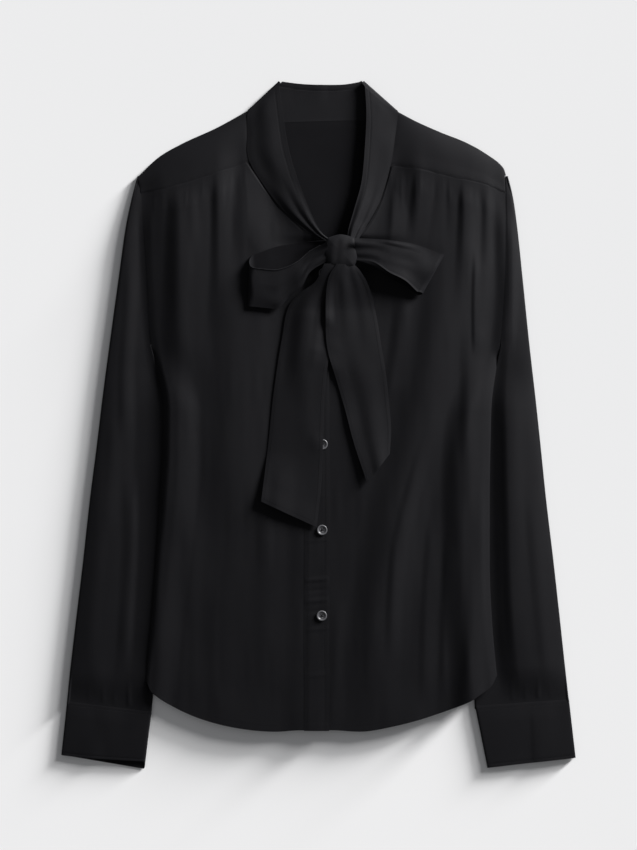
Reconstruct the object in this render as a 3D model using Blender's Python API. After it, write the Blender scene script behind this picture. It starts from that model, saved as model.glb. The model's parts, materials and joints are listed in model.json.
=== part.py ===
"""Tie neck blouse, laid flat and face up, one solid for each piece of cloth and each button.

All the working is in millimetres on the surface that the blouse lies on: x runs to the right of
someone who looks down at it, y towards the collar, z up. Meshes are made in metres.
"Left" and "right" in the names are the looker's, not the wearer's.
"""

import math
from collections import namedtuple

import bmesh
import bpy
import numpy as np
from mathutils import Vector
from mathutils.bvhtree import BVHTree

MM = 0.001

# Walls and clearances

CLOTH = 1.0
COLLAR_WALL = 1.4
CUFF_WALL = 1.6
RIBBON_WALL = 1.2
GAP = 0.3
SEAM = 0.4

# Ply heights: the lower ply lies on the floor, the upper one turns over it in a round fold

FOLD_RADIUS = 1.25
PLY = 2 * FOLD_RADIUS
BODY_LOFT = 2.5
SLEEVE_LOFT = 2.3
LAP_LIFT = 1.6
SLEEVE_COVER = 4.3
SIDE_PLY = 1.45

# Lengthwise stations of the garment

YOKE_BACK_SEAM = 185
UNDERARM = 83
COVER_START = 61
COVER_AHEAD = 30
SLEEVE_TOP = 256
CLOSING_EDGE = 11
UNDER_EDGE = -13
PLACKET_WIDTH = 26
BACK_HEM_RISE = 4

# Outline of sleeves and body at each height, from the shoulder tips to the cuffs

Level = namedtuple("Level", "y left_sleeve left_body right_body right_sleeve")
LEVELS = [
    Level(262, -188, -187, 197, 199),
    Level(242, -194, -185.5, 196.5, 203),
    Level(212, -201.5, -183.5, 196, 208),
    Level(156, -209.5, -179.5, 195, 214),
    Level(83, -219.5, -175, 190, 221.5),
    Level(26, -227, -163, 181.5, 228),
    Level(-16, -232, -162.5, 180, 232.5),
    Level(-79, -240, -166, 179, 239),
    Level(-142, -247, -170, 179, 246.5),
    Level(-205, -254.5, -175, 181.5, 253.5),
    Level(-256, -260.5, -180, 186, 259),
    Level(-291, -264, -183, 190, 263),
    Level(-346, -270, -188, 194, 270),
]

# Inner fold of each sleeve, which runs under the body from just below the underarm

Inner = namedtuple("Inner", "y left right")
INNER_FOLD = [
    Inner(83, -176.4, 191.4),
    Inner(58, -171.2, 188.4),
    Inner(31, -152, 168),
    Inner(-16, -147, 156),
    Inner(-79, -151, 153),
    Inner(-142, -158, 154),
    Inner(-205, -166, 157),
    Inner(-256, -171, 161),
    Inner(-302, -175, 164),
]

# Top edge of each front: the gathered yoke seam, then the neck seam down to the closing

Place = namedtuple("Place", "x y")
LEFT_TOP = [
    Place(-186, 244),
    Place(-149, 250),
    Place(-112, 262),
    Place(-75, 275),
    Place(-59, 250),
    Place(-37, 222),
    Place(-7, 196),
    Place(11, 191),
]
RIGHT_TOP = [
    Place(196, 244),
    Place(174, 252),
    Place(146, 258),
    Place(99, 269),
    Place(77, 272),
    Place(67, 237),
    Place(54, 210),
    Place(42, 195),
    Place(20, 187),
    Place(-13, 185),
]
YOKE_SEAM_POINTS = {"left": 4, "right": 5}
NECK_COLUMNS = 10
HEM_END_X = {"left": -181, "right": 186}

HEM = [
    Place(-181, -266),
    Place(-175, -278),
    Place(-168, -284),
    Place(-150, -295),
    Place(-120, -308),
    Place(-79, -318),
    Place(-42, -321),
    Place(-19, -319.5),
    Place(12, -319.5),
    Place(41, -321),
    Place(78, -315),
    Place(117, -304),
    Place(155, -289),
    Place(168, -281),
    Place(180, -272),
    Place(186, -262),
]

# Shoulder folds, from the sleeve to the neck, and the seam of the collar across the back

LEFT_SHOULDER = [
    Place(-187, 262),
    Place(-168, 281),
    Place(-144, 295),
    Place(-107, 312),
    Place(-76, 329),
]
RIGHT_SHOULDER = [
    Place(197, 262),
    Place(194, 270),
    Place(174, 286),
    Place(154, 297),
    Place(129, 307),
    Place(102, 319),
    Place(85, 328),
]
BACK_NECK = [
    Place(-76, 329),
    Place(-60, 317),
    Place(-35, 318),
    Place(1, 319),
    Place(44, 320),
    Place(68, 320),
    Place(85, 328),
]

# Collar band at each rung of its two front stretches, from the side fold down to the knot

Rung = namedtuple("Rung", "seam_x seam_y seam_z edge_x edge_y edge_z")
COLLAR_LEFT = [
    Rung(-74.8, 330.5, 3.0, -42, 361, 5.0),
    Rung(-74.6, 304, 3.0, -37, 324, 6.0),
    Rung(-73.4, 279, 3.0, -31, 288, 6.6),
    Rung(-57.8, 252, 3.2, -21, 255, 7.4),
    Rung(-36, 224, 5.0, -8, 222, 9.0),
    Rung(-9, 201, 9.5, 2.5, 202.5, 12.5),
]
COLLAR_RIGHT = [
    Rung(83.8, 329.5, 3.0, 48, 361, 7.0),
    Rung(80.4, 304, 3.0, 50, 326, 9.0),
    Rung(75.8, 273.5, 3.0, 48.5, 292, 10.0),
    Rung(66.2, 239, 3.4, 45, 255, 10.5),
    Rung(55, 214, 6.0, 37, 225, 11.5),
    Rung(47, 203, 10.0, 31, 203.5, 13.0),
]
COLLAR_BACK_EDGE = [
    Place(-42, 361),
    Place(-19, 358),
    Place(1, 357),
    Place(28, 357.5),
    Place(48, 361),
]

# Gathers below the yoke: each ridge from the seam to where it dies away

Gather = namedtuple("Gather", "seam_x low_x low_y half_width height")
LEFT_GATHERS = [
    Gather(-176, -172, 120, 6.5, 2.6),
    Gather(-159, -155, 190, 5.0, 1.8),
    Gather(-143, -137, 60, 8.0, 3.2),
    Gather(-130, -128, 170, 5.5, 2.2),
    Gather(-117, -116, 180, 6.0, 2.4),
    Gather(-102, -104, 150, 6.5, 2.6),
    Gather(-90, -96, 190, 5.0, 1.8),
    Gather(-76, -72, 120, 7.5, 3.4),
]
RIGHT_GATHERS = [
    Gather(84, 74, 200, 5.5, 2.2),
    Gather(95, 86, 185, 6.0, 2.8),
    Gather(108, 101, 190, 5.5, 3.0),
    Gather(119, 105, 130, 6.0, 2.6),
    Gather(137, 122, 150, 7.5, 3.2),
    Gather(150, 145, 200, 5.5, 1.8),
    Gather(163, 156, 60, 7.5, 3.4),
    Gather(182, 178, 130, 7.0, 2.4),
]

# Long soft folds of body and sleeves: half width and height are at the middle of the path

Fold = namedtuple("Fold", "half_width height path")
FOLDS = [
    Fold(13, 3.0, [(157, 170), (146, 130), (132, 60), (110, -6), (90, -70), (68, -130), (54, -200), (44, -290)]),
    Fold(9, -2.0, [(144, 190), (133, 150), (116, 70), (94, 0), (74, -60), (54, -120), (42, -200), (28, -300)]),
    Fold(14, 2.8, [(158, 140), (166, 60), (172, 0), (172, -90), (168, -190), (160, -260)]),
    Fold(16, 1.8, [(118, 20), (116, -80), (108, -190), (100, -290)]),
    Fold(15, 2.4, [(-140, 100), (-138, 20), (-142, -80), (-150, -190), (-152, -270)]),
    Fold(18, 1.8, [(-92, 60), (-96, -40), (-102, -150), (-100, -290)]),
    Fold(16, 1.6, [(-48, -90), (-50, -180), (-46, -300)]),
    Fold(10, -1.6, [(-118, 110), (-118, 10), (-122, -90), (-126, -200)]),
    Fold(10, 2.0, [(-196, 190), (-197, 100), (-206, 0), (-218, -120), (-232, -240)]),
    Fold(9, 2.2, [(-187, -40), (-190, -110), (-194, -190), (-197, -270)]),
    Fold(10, 2.0, [(206, 200), (206, 100), (210, 0), (222, -120), (238, -240)]),
    Fold(9, 2.0, [(192, 10), (194, -90), (200, -190), (210, -280)]),
]

# Cuffs: the seam with the sleeve and the open end, at the outer and the inner fold

Cuff = namedtuple("Cuff", "outer_top inner_top outer_end inner_end inside_shown shown_at")
CUFFS = {
    "left": Cuff((-264, -291), (-175, -302), (-270, -346), (-182, -361), 11, 0.72),
    "right": Cuff((263, -289), (164, -296), (270, -349), (177, -360), 2, 0.5),
}

# Ties: each rung goes from the left edge to the right edge of the ribbon

Edge = namedtuple("Edge", "left_x left_y right_x right_y lift")
TAIL_LEFT = [
    Edge(8, 166, 21, 166, 0),
    Edge(-3, 150, 12, 150, 1.5),
    Edge(-19, 138, 7.5, 130, 2.5),
    Edge(-32, 122, 7, 110, 2.0),
    Edge(-38, 92, 8, 82, 1.0),
    Edge(-43, 62, 7, 52, 0.6),
    Edge(-48, 25, 5.5, 14, 0.6),
    Edge(-52, -14, 4.5, -26, 0.4),
    Edge(-56, -48, 2.5, -66, 0.8),
    Edge(-60, -80, -2, -107, 1.6),
]
TAIL_RIGHT = [
    Edge(26, 166, 39, 166, 0),
    Edge(17, 155, 46, 157, 1.5),
    Edge(10.8, 136, 54, 141, 2.5),
    Edge(9.5, 108, 61, 112, 2.0),
    Edge(10, 78, 66, 80, 1.0),
    Edge(19, 46, 71, 50, 0.6),
    Edge(28, 15, 74, 20, 0.8),
    Edge(37, -19, 76, -6, 1.4),
    Edge(51, -61, 74.5, -30, 2.4),
]

# Bow loops: lower ply from the knot to the turn, then the upper ply back to the knot

Turn = namedtuple("Turn", "top_x top_y low_x low_y top_rise low_rise")
LOOP_LEFT_UNDER = [
    Turn(4.7, 193, 4.7, 169, 4.0, 3.0),
    Turn(-8, 192, -12, 163, 2.5, 1.5),
    Turn(-25, 190, -32, 146, 1.0, 0.5),
    Turn(-46, 186, -48, 130, 0.4, 0.2),
    Turn(-66, 178.5, -68, 126, 0.4, 0.2),
]
LOOP_LEFT_OVER = [
    Turn(-67, 164, -68, 123.5, 9.0, 3.4),
    Turn(-48, 162, -45, 121.5, 9.5, 3.2),
    Turn(-34, 164.5, -31, 133, 10.0, 4.0),
    Turn(-20, 172, -17, 145, 10.5, 6.5),
    Turn(-8, 182, -8, 160, 11.5, 9.0),
    Turn(4.7, 190.5, 4.7, 170, 12.5, 10.5),
]
LOOP_RIGHT_UNDER = [
    Turn(42.3, 193, 42.3, 173, 4.0, 3.0),
    Turn(60, 190, 58, 166, 2.5, 1.5),
    Turn(80, 187, 74, 154, 1.0, 0.8),
    Turn(102, 183, 90, 146, 0.4, 0.6),
    Turn(125, 176, 104, 136, 0.3, 0.4),
]
LOOP_RIGHT_OVER = [
    Turn(127, 178.5, 103, 139, 4.6, 5.2),
    Turn(103, 187.5, 90, 150.5, 6.5, 8.5),
    Turn(82, 191.5, 74, 158.5, 8.0, 10.0),
    Turn(62, 193.5, 57, 169.5, 9.5, 11.0),
    Turn(42.3, 195.5, 42.3, 171.5, 11.5, 11.5),
]

KNOT_CENTRE = Place(23.5, 180)
KNOT_HALF = (18.6, 18.5)
KNOT_BASE = 10.8
KNOT_HEIGHT = 14

BUTTON_X = [5.5, 5, 4.2, 3.8, 3.4]
BUTTON_FIRST = 159
BUTTON_STEP = -89.6
BUTTON_RADIUS = 5.4
BUTTON_THICKNESS = 2.4


# Curves through tables


def ease(t):
    """0 before 0, 1 after 1 and a soft S between them."""
    t = np.clip(t, 0.0, 1.0)
    return t * t * (3 - 2 * t)


def mix(a, b, t):
    return a + (b - a) * t


def through(at, places, values):
    """A smooth curve through a short table, read at any place, and straight beyond its ends."""
    order = np.argsort(places)
    xs = np.asarray(places, float)[order]
    ys = np.asarray(values, float)[order]
    slopes = np.diff(ys) / np.diff(xs)
    tangents = np.concatenate([slopes[:1], (slopes[:-1] + slopes[1:]) / 2, slopes[-1:]])
    turning = np.concatenate([[False], slopes[:-1] * slopes[1:] <= 0, [False]])
    tangents = np.where(turning, 0.0, tangents)
    at = np.asarray(at, float)
    cell = np.clip(np.searchsorted(xs, at) - 1, 0, len(xs) - 2)
    width = xs[cell + 1] - xs[cell]
    t = np.clip((at - xs[cell]) / width, 0.0, 1.0)
    start = ys[cell] * (1 + 2 * t) * (1 - t) ** 2 + tangents[cell] * width * t * (1 - t) ** 2
    end = ys[cell + 1] * t * t * (3 - 2 * t) - tangents[cell + 1] * width * t * t * (1 - t)
    return start + end


def column(rows, name):
    return np.array([getattr(row, name) for row in rows], float)


def line_through(rows, fractions):
    """Points at fractions of a curve's length through rows of x and y."""
    points = np.array(rows, float)[:, :2]
    run = np.concatenate([[0], np.cumsum(np.linalg.norm(np.diff(points, axis=0), axis=1))])
    run = run / run[-1]
    return np.stack([through(fractions, run, points[:, k]) for k in (0, 1)], axis=-1)


def level(y, name):
    """x of a sleeve's or the body's edge at a height."""
    return through(y, column(LEVELS, "y"), column(LEVELS, name))


def inner_fold(y, side):
    return through(y, column(INNER_FOLD, "y"), column(INNER_FOLD, side))


def hem(x):
    return through(x, column(HEM, "x"), column(HEM, "y"))


# Heights of the cloth above the floor


def bump(distance, half_width):
    return np.cos(np.pi / 2 * np.clip(np.abs(distance) / half_width, 0, 1)) ** 2


def long_folds(x, y):
    """The soft ridges and troughs that run down body and sleeves."""
    height = np.zeros(np.broadcast(x, y).shape)
    for fold in FOLDS:
        xs, ys = np.array(fold.path, float).T
        middle = through(y, ys, xs)
        length = ys.max() - ys.min()
        along = (y - ys.min()) / length
        fade = ease(along / 0.25) * ease((1 - along) / 0.25)
        height += fold.height * fade * bump(x - middle, fold.half_width)
    return height


def gathers(x, y, rows, seam_y):
    """The ridges that start at the yoke seam, where the stitches hold the cloth flat."""
    height = np.zeros(np.broadcast(x, y).shape)
    for row in rows:
        along = np.clip((seam_y - y) / np.maximum(seam_y - row.low_y, 1), 0, 1)
        middle = mix(row.seam_x, row.low_x, along)
        width = row.half_width * (1 + along)
        fade = ease((seam_y - y) / 12) * (1 - ease((along - 0.35) / 0.65))
        height += row.height * fade * bump(x - middle, width)
    return height


def cover(x, y):
    """How far the body is lifted where it lies on the inner margin of a sleeve."""
    started = ease((UNDERARM - y) / (UNDERARM - COVER_START))
    ramp = 16
    ahead = y - COVER_AHEAD
    left_fold = np.maximum(inner_fold(y, "left"), inner_fold(ahead, "left"))
    right_fold = np.minimum(inner_fold(y, "right"), inner_fold(ahead, "right"))
    left = ease((left_fold - x + ramp) / ramp)
    right = ease((x - right_fold + ramp) / ramp)
    return SLEEVE_COVER * started * np.maximum(left, right)


def back_height(x, y):
    return CLOTH / 2 + cover(x, y)


def front_height(x, y, top_y, rows, seam_y):
    """Middle of a front's wall: on the back at the seams, lofted and folded between them."""
    from_side = np.minimum(x - level(y, "left_body"), level(y, "right_body") - x)
    pinch = ease((COVER_START - 12 - y) / 30) * (1 - ease(from_side / 14))
    ply = mix(PLY, SIDE_PLY, pinch)
    loft = BODY_LOFT * ease(from_side / 45) * ease((top_y - y) / 55)
    folds = long_folds(x, y) * ease(from_side / 8) * ease((top_y - y) / 30)
    folds = folds + gathers(x, y, rows, seam_y) * ease(from_side / 7)
    return back_height(x, y) + ply + np.maximum(loft + folds, 0)


# Making meshes


def clear_scene():
    for thing in list(bpy.data.objects):
        bpy.data.objects.remove(thing, do_unlink=True)


def material(name, colour, roughness, sheen):
    made = bpy.data.materials.new(name)
    made.use_nodes = True
    shader = made.node_tree.nodes["Principled BSDF"]
    shader.inputs["Base Color"].default_value = (*colour, 1)
    shader.inputs["Roughness"].default_value = roughness
    shader.inputs["Metallic"].default_value = 0
    shader.inputs["Sheen Weight"].default_value = sheen
    return made


def grid_mesh(name, grids, finish, ring=False):
    """An object of one or more grids of points in mm. Cells with a missing (nan) corner are left out."""
    mesh = bmesh.new()
    for grid in grids:
        rows, columns = grid.shape[:2]
        made = {}
        for i in range(rows):
            for j in range(columns):
                if np.isfinite(grid[i, j]).all():
                    made[i, j] = mesh.verts.new(Vector(grid[i, j]) * MM)
        for i in range(rows - 1):
            for j in range(columns if ring else columns - 1):
                after = (j + 1) % columns
                corners = [(i, j), (i, after), (i + 1, after), (i + 1, j)]
                if all(corner in made for corner in corners):
                    mesh.faces.new([made[corner] for corner in corners])
    bmesh.ops.remove_doubles(mesh, verts=mesh.verts, dist=1e-6)
    loose = [vertex for vertex in mesh.verts if not vertex.link_faces]
    bmesh.ops.delete(mesh, geom=loose, context="VERTS")
    data = bpy.data.meshes.new(name)
    mesh.to_mesh(data)
    mesh.free()
    data.materials.append(finish)
    data.shade_smooth()
    made_object = bpy.data.objects.new(name, data)
    bpy.context.collection.objects.link(made_object)
    return made_object


def cloth(name, grids, wall, finish, ring=False):
    """A sheet with its wall grown half to each side."""
    piece = grid_mesh(name, grids, finish, ring)
    shell = piece.modifiers.new("Wall", "SOLIDIFY")
    shell.thickness = wall * MM
    shell.offset = 0
    shell.use_even_offset = True
    shell.use_quality_normals = True
    return piece


def grid_of(x, y, z):
    x, y, z = np.broadcast_arrays(x, y, z)
    return np.stack([x, y, z], axis=-1)


def top_finder(pieces):
    """A function that gives the highest surface of these pieces within reach of a place."""
    bpy.context.view_layer.update()
    graph = bpy.context.evaluated_depsgraph_get()
    trees = [(BVHTree.FromObject(piece, graph), piece.location) for piece in pieces]
    sky = 0.2
    down = Vector((0, 0, -1))

    def height(x, y):
        start = Vector((x * MM, y * MM, sky))
        hits = [(tree.ray_cast(start - place, down)[0], place) for tree, place in trees]
        return max([(hit.z + place.z) / MM for hit, place in hits if hit is not None], default=0.0)

    def highest(x, y, reach):
        found = height(x, y)
        for part in (0.25, 0.5, 0.75, 1.0):
            for step in range(16):
                angle = step * math.pi / 8
                dx = part * reach * math.cos(angle)
                dy = part * reach * math.sin(angle)
                found = max(found, height(x + dx, y + dy))
        return found

    return highest


def ground_under(x, y, pieces, reach):
    """Height of what lies below each point of a grid."""
    highest = top_finder(pieces)
    return np.array([[highest(a, b, reach) for a, b in zip(*row)] for row in zip(x, y)])


def settle(required, rounds):
    """Cloth over bumps: it touches the high places and spans softly between them."""
    height = required.copy()
    for _ in range(rounds):
        padded = np.pad(height, 1, mode="edge")
        around = padded[:-2, 1:-1] + padded[2:, 1:-1] + padded[1:-1, :-2] + padded[1:-1, 2:]
        height = np.maximum(required, around / 4)
    return height


# Pieces of the body


def make_back(finish):
    margins = np.array([0, 5, 10, 16, 22, 28, 35, 43, 56, 80, 115])
    u = np.concatenate([margins / 360, [0.5], 1 - margins[::-1] / 360])
    y_hem = hem(mix(-180, 185, u)) + BACK_HEM_RISE
    lower = mix(y_hem[None, :], COVER_START, np.linspace(0, 1, 10)[:, None])
    upper = np.array([(COVER_START + UNDERARM) / 2, UNDERARM, YOKE_BACK_SEAM - SEAM])
    y = np.concatenate([lower, np.repeat(upper[:, None], len(u), axis=1)])
    left = level(y, "left_body") + SEAM / 2
    right = level(y, "right_body") - SEAM / 2
    x = mix(left, right, u[None, :])
    return cloth("back", [grid_of(x, y, back_height(x, y))], CLOTH, finish)


def gather_columns(rows, edge_x, neck_x):
    """Columns on each ridge and in each hollow along a yoke seam, from the armhole to the neck."""
    ridges = sorted((row.seam_x for row in rows), key=lambda place: abs(place - edge_x))
    places = [edge_x]
    for before, after in zip([edge_x] + ridges, ridges + [neck_x]):
        places += [(before + after) / 2, after]
    return np.array(places, float)


def front_plan(side, closing_x, top, rows):
    """Columns and rows of a front, from its side to its closing edge and from hem to top."""
    edge = side + "_body"
    top_x = column(top, "x")
    top_y = column(top, "y")
    last = YOKE_SEAM_POINTS[side]
    seam_columns = gather_columns(rows, top_x[0], top_x[last - 1])
    seam_u = (seam_columns - top_x[0]) / (closing_x - top_x[0])
    neck_u = np.linspace(seam_u[-1], 1, NECK_COLUMNS + 1)[1:]
    u = np.concatenate([seam_u, neck_u])
    table_u = (top_x - top_x[0]) / (closing_x - top_x[0])
    in_yoke = through(u, table_u[:last], top_y[:last])
    in_neck = through(u, table_u[last - 1:], top_y[last - 1:])
    y_top = np.where(u <= table_u[last - 1] + 1e-9, in_yoke, in_neck) - SEAM
    seam_y = through(np.minimum(u, table_u[last - 1]), table_u[:last], top_y[:last])
    y_hem = hem(mix(HEM_END_X[side], closing_x, u))
    return u, y_hem, y_top, seam_y, edge


def make_front(name, side, closing_x, top, rows, finish, lap=False):
    u, y_hem, y_top, seam_y, edge = front_plan(side, closing_x, top, rows)
    v = 1 - (1 - np.linspace(0, 1, 21)) ** 1.35
    y = mix(y_hem[None, :], y_top[None, :], v[:, None])
    inset = {"left": SEAM, "right": -SEAM}[side]
    x = mix(level(y, edge) + inset, closing_x, u[None, :])
    z = front_height(x, y, y_top[None, :], rows, seam_y[None, :])
    if lap:
        z = z + LAP_LIFT * ease((x - UNDER_EDGE + 22) / 18)
    return cloth(name, [grid_of(x, y, z)], CLOTH, finish), grid_of(x, y, z)


def make_placket(front_points, finish):
    """A strip along the closing edge, from the front's own points moved out by its wall."""
    start = CLOSING_EDGE - PLACKET_WIDTH
    places = np.linspace(start, CLOSING_EDGE, 5)
    rise = CLOTH + GAP
    strip = []
    for row in front_points:
        order = np.argsort(row[:, 0])
        y = np.interp(places, row[order, 0], row[order, 1])
        z = np.interp(places, row[order, 0], row[order, 2])
        strip.append(grid_of(places, y, z + rise))
    return cloth("placket", [np.array(strip)], CLOTH, finish)


def shoulder_flap(shoulder, top, last, side, count):
    """Fold and front stretch of the yoke on one shoulder, and the points of its fold."""
    f = np.linspace(0, 1, count)
    fold = line_through(shoulder, f)
    seam = line_through(top[:last], f)
    seam[:, 1] += SEAM / 2
    along = np.gradient(fold, axis=0)
    outward = np.stack([-along[:, 1], along[:, 0]], axis=1)
    outward *= (1 if side == "left" else -1) / np.linalg.norm(outward, axis=1)[:, None]
    rows = []
    for angle in np.radians([-90, -45, 0, 45, 90]):
        shift = FOLD_RADIUS * (math.cos(angle) - 1) - CLOTH / 2
        height = CLOTH / 2 + FOLD_RADIUS * (1 + math.sin(angle))
        rows.append(grid_of(*(fold + outward * shift).T, height))
    inner = fold - outward * (FOLD_RADIUS + CLOTH / 2)
    for part in (0.25, 0.5, 0.75, 1.0):
        place = mix(inner, seam, part)
        bulge = 1.4 * math.sin(math.pi * part) * np.sin(np.pi * f) ** 0.5
        rows.append(grid_of(*place.T, CLOTH / 2 + PLY + bulge))
    flap = np.array(rows)
    flap[:, 0, 0] += SEAM if side == "left" else -SEAM
    return flap


def make_yoke(finish):
    """One piece over both shoulders: its back lies on the floor, and its flaps turn to the front."""
    count = 9
    left_flap = shoulder_flap(LEFT_SHOULDER, LEFT_TOP, YOKE_SEAM_POINTS["left"], "left", count)
    right_flap = shoulder_flap(RIGHT_SHOULDER, RIGHT_TOP, YOKE_SEAM_POINTS["right"], "right", count)
    neck = line_through(BACK_NECK, np.linspace(0, 1, 15))
    neck[:, 1] -= SEAM / 2
    neck[0] = left_flap[0, -1, :2]
    neck[-1] = right_flap[0, -1, :2]
    top = np.concatenate([left_flap[0, :, :2], neck[1:-1], right_flap[0, ::-1, :2]])
    spread = (top[:, 0] - top[0, 0]) / (top[-1, 0] - top[0, 0])
    left = level(YOKE_BACK_SEAM, "left_body") + SEAM / 2
    right = level(YOKE_BACK_SEAM, "right_body") - SEAM / 2
    low_x = mix(left, right, spread)
    v = np.linspace(0, 1, 3)[:, None]
    x = mix(low_x[None, :], top[None, :, 0], v)
    y = mix(YOKE_BACK_SEAM, top[None, :, 1], v)
    back = grid_of(x, y, CLOTH / 2)
    return cloth("yoke", [back, left_flap, right_flap[:, ::-1]], CLOTH, finish)


# Collar


def collar_fold(seam_end, edge_end, outward, low, high_seam, high_edge, widths):
    """The round side fold of the band, from its back stretch up to a front stretch."""
    rows = []
    for angle in np.radians([-90, -54, -18, 18, 54, 90]):
        line = np.array([mix(np.array(seam_end), np.array(edge_end), w) for w in widths])
        radius = (mix(high_seam, high_edge, widths) - low) / 2
        shift = radius * (math.cos(angle) - 1) - COLLAR_WALL / 2
        place = line + np.array(outward)[None, :] * shift[:, None]
        rows.append(grid_of(*place.T, low + radius * (1 + math.sin(angle))))
    return rows


def collar_front(rungs, widths, count, bow):
    """A front stretch of the band between its seam and its free edge."""
    steps = np.linspace(0, 1, count)
    places = np.linspace(0, 1, len(rungs))
    values = {name: through(steps, places, column(rungs, name)) for name in Rung._fields}
    rows = []
    for k, step in enumerate(steps[1:], start=1):
        x = mix(values["seam_x"][k], values["edge_x"][k], widths)
        y = mix(values["seam_y"][k], values["edge_y"][k], widths)
        z = mix(values["seam_z"][k], values["edge_z"][k], widths)
        crease = bow * ease((step - 0.45) / 0.4) * np.sin(np.pi * widths)
        rows.append(grid_of(x, y, z + crease))
    return rows


def make_collar(finish):
    """The band: left front stretch, side fold, back, side fold, right front stretch."""
    widths = np.linspace(0, 1, 6)
    low = COLLAR_WALL / 2
    left, right = COLLAR_LEFT[0], COLLAR_RIGHT[0]
    fold_left = collar_fold(
        (left.seam_x, left.seam_y), (left.edge_x, left.edge_y), (-0.66, 0.75),
        low, left.seam_z, left.edge_z, widths,
    )
    fold_right = collar_fold(
        (right.seam_x, right.seam_y), (right.edge_x, right.edge_y), (0.66, 0.75),
        low, right.seam_z, right.edge_z, widths,
    )
    steps = np.linspace(0, 1, 15)[1:-1]
    seam = line_through(BACK_NECK, steps)
    edge = line_through(COLLAR_BACK_EDGE, steps)
    seam[:, 1] += SEAM / 2 + COLLAR_WALL / 4
    back = [grid_of(*mix(a, b, widths[:, None]).T, low) for a, b in zip(seam, edge)]
    front_left = collar_front(COLLAR_LEFT, widths, 12, 1.5)
    front_right = collar_front(COLLAR_RIGHT, widths, 12, 1.0)
    strip = front_left[::-1] + fold_left[::-1] + back + fold_right + front_right
    return cloth("collar", [np.array(strip)], COLLAR_WALL, finish)


# Sleeves and cuffs


def half_ring(outer, outward, low, radius, steps):
    """Points of a round fold from the lower ply to the upper one."""
    angles = np.linspace(-math.pi / 2, math.pi / 2, steps + 2)[1:-1]
    points = []
    for angle in angles:
        shift = radius * (np.cos(angle) - 1)
        points.append((outer + outward * shift, low + radius * (1 + math.sin(angle))))
    return points


def make_sleeve(name, side, finish):
    """A flattened tube, open along the armhole, whose inner margin runs under the body."""
    sign = -1 if side == "left" else 1
    cuff = CUFFS[side]
    y_in = np.concatenate([
        np.linspace(cuff.inner_top[1], INNER_FOLD[1].y, 14),
        np.linspace(UNDERARM, SLEEVE_TOP, 7),
    ])
    v = (y_in - cuff.inner_top[1]) / (SLEEVE_TOP - cuff.inner_top[1])
    y_out = mix(cuff.outer_top[1], SLEEVE_TOP, v)
    low = CLOTH / 2
    rows = []
    for k in range(len(v)):
        closed = y_in[k] <= UNDERARM
        outer = level(y_out[k], side + "_sleeve") - sign * CLOTH / 2
        seam = level(y_in[k], side + "_body") + sign * SEAM * 0.75
        inner = inner_fold(y_in[k], side) + sign * CLOTH / 2 if closed else seam
        start = outer - sign * FOLD_RADIUS
        stop = inner + sign * FOLD_RADIUS if closed else inner
        f_low = np.linspace(1, 0, 5)
        f_top = np.linspace(0, 1, 10)
        points = [(mix(start, stop, f), mix(y_out[k], y_in[k], f), low) for f in f_low]
        points += [(x, y_out[k], z) for x, z in half_ring(outer, sign, low, FOLD_RADIUS, 3)]
        for f in f_top:
            x = mix(start, stop, f)
            y = mix(y_out[k], y_in[k], f)
            edge = level(y, side + "_body")
            shown = np.clip((x - start) / (edge - start), 0, 1) if closed else f
            loft = SLEEVE_LOFT * math.sin(math.pi * shown) ** 0.7
            folds = float(long_folds(x, y)) * math.sin(math.pi * shown) ** 0.5
            end_pinch = ease(np.array((y - mix(cuff.outer_top[1], cuff.inner_top[1], f)) / 40))
            points.append((x, y, low + PLY + max(loft + folds, 0) * float(end_pinch)))
        if closed:
            turn = half_ring(inner, -sign, low, FOLD_RADIUS, 3)
            points += [(x, y_in[k], z) for x, z in reversed(turn)]
        else:
            points += [(np.nan, np.nan, np.nan)] * 3
        rows.append(points)
    return cloth(name, [np.array(rows, float)], CLOTH, finish, ring=True)


def make_cuff(name, side, finish):
    """A stiffer flattened tube, whose upper ply may stop short of the lower one."""
    sign = -1 if side == "left" else 1
    cuff = CUFFS[side]
    low = CUFF_WALL / 2
    radius = (CLOTH / 2 + PLY - low) / 2 + 0.3
    rows = []
    for part in np.linspace(0, 1, 6):
        outer = mix(np.array(cuff.outer_top, float), np.array(cuff.outer_end, float), part)
        inner = mix(np.array(cuff.inner_top, float), np.array(cuff.inner_end, float), part)
        across = (inner - outer) / np.linalg.norm(inner - outer)
        outer = outer + across * CUFF_WALL / 2
        inner = inner - across * CUFF_WALL / 2
        down = np.array([0, -SEAM * (1 - part)])
        start = outer + across * radius
        stop = inner - across * radius
        points = [(*(mix(start, stop, f) + down), low) for f in np.linspace(1, 0, 5)]
        for shift, z in half_ring(0.0, 1.0, low, radius, 3):
            points.append((*(outer - across * shift + down), z))
        for f in np.linspace(0, 1, 9):
            skew = f ** (math.log(0.5) / math.log(cuff.shown_at))
            back = cuff.inside_shown * math.sin(math.pi * skew) ** 1.3 * part
            place = mix(start, stop, f) + down + np.array([0, back])
            points.append((*place, low + 2 * radius + 0.8 * math.sin(math.pi * f)))
        turn = [(*(inner + across * shift + down), z) for shift, z in half_ring(0.0, 1.0, low, radius, 3)]
        points += reversed(turn)
        rows.append(points)
    return cloth(name, [np.array(rows, float)], CUFF_WALL, finish, ring=True)


# Bow


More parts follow.
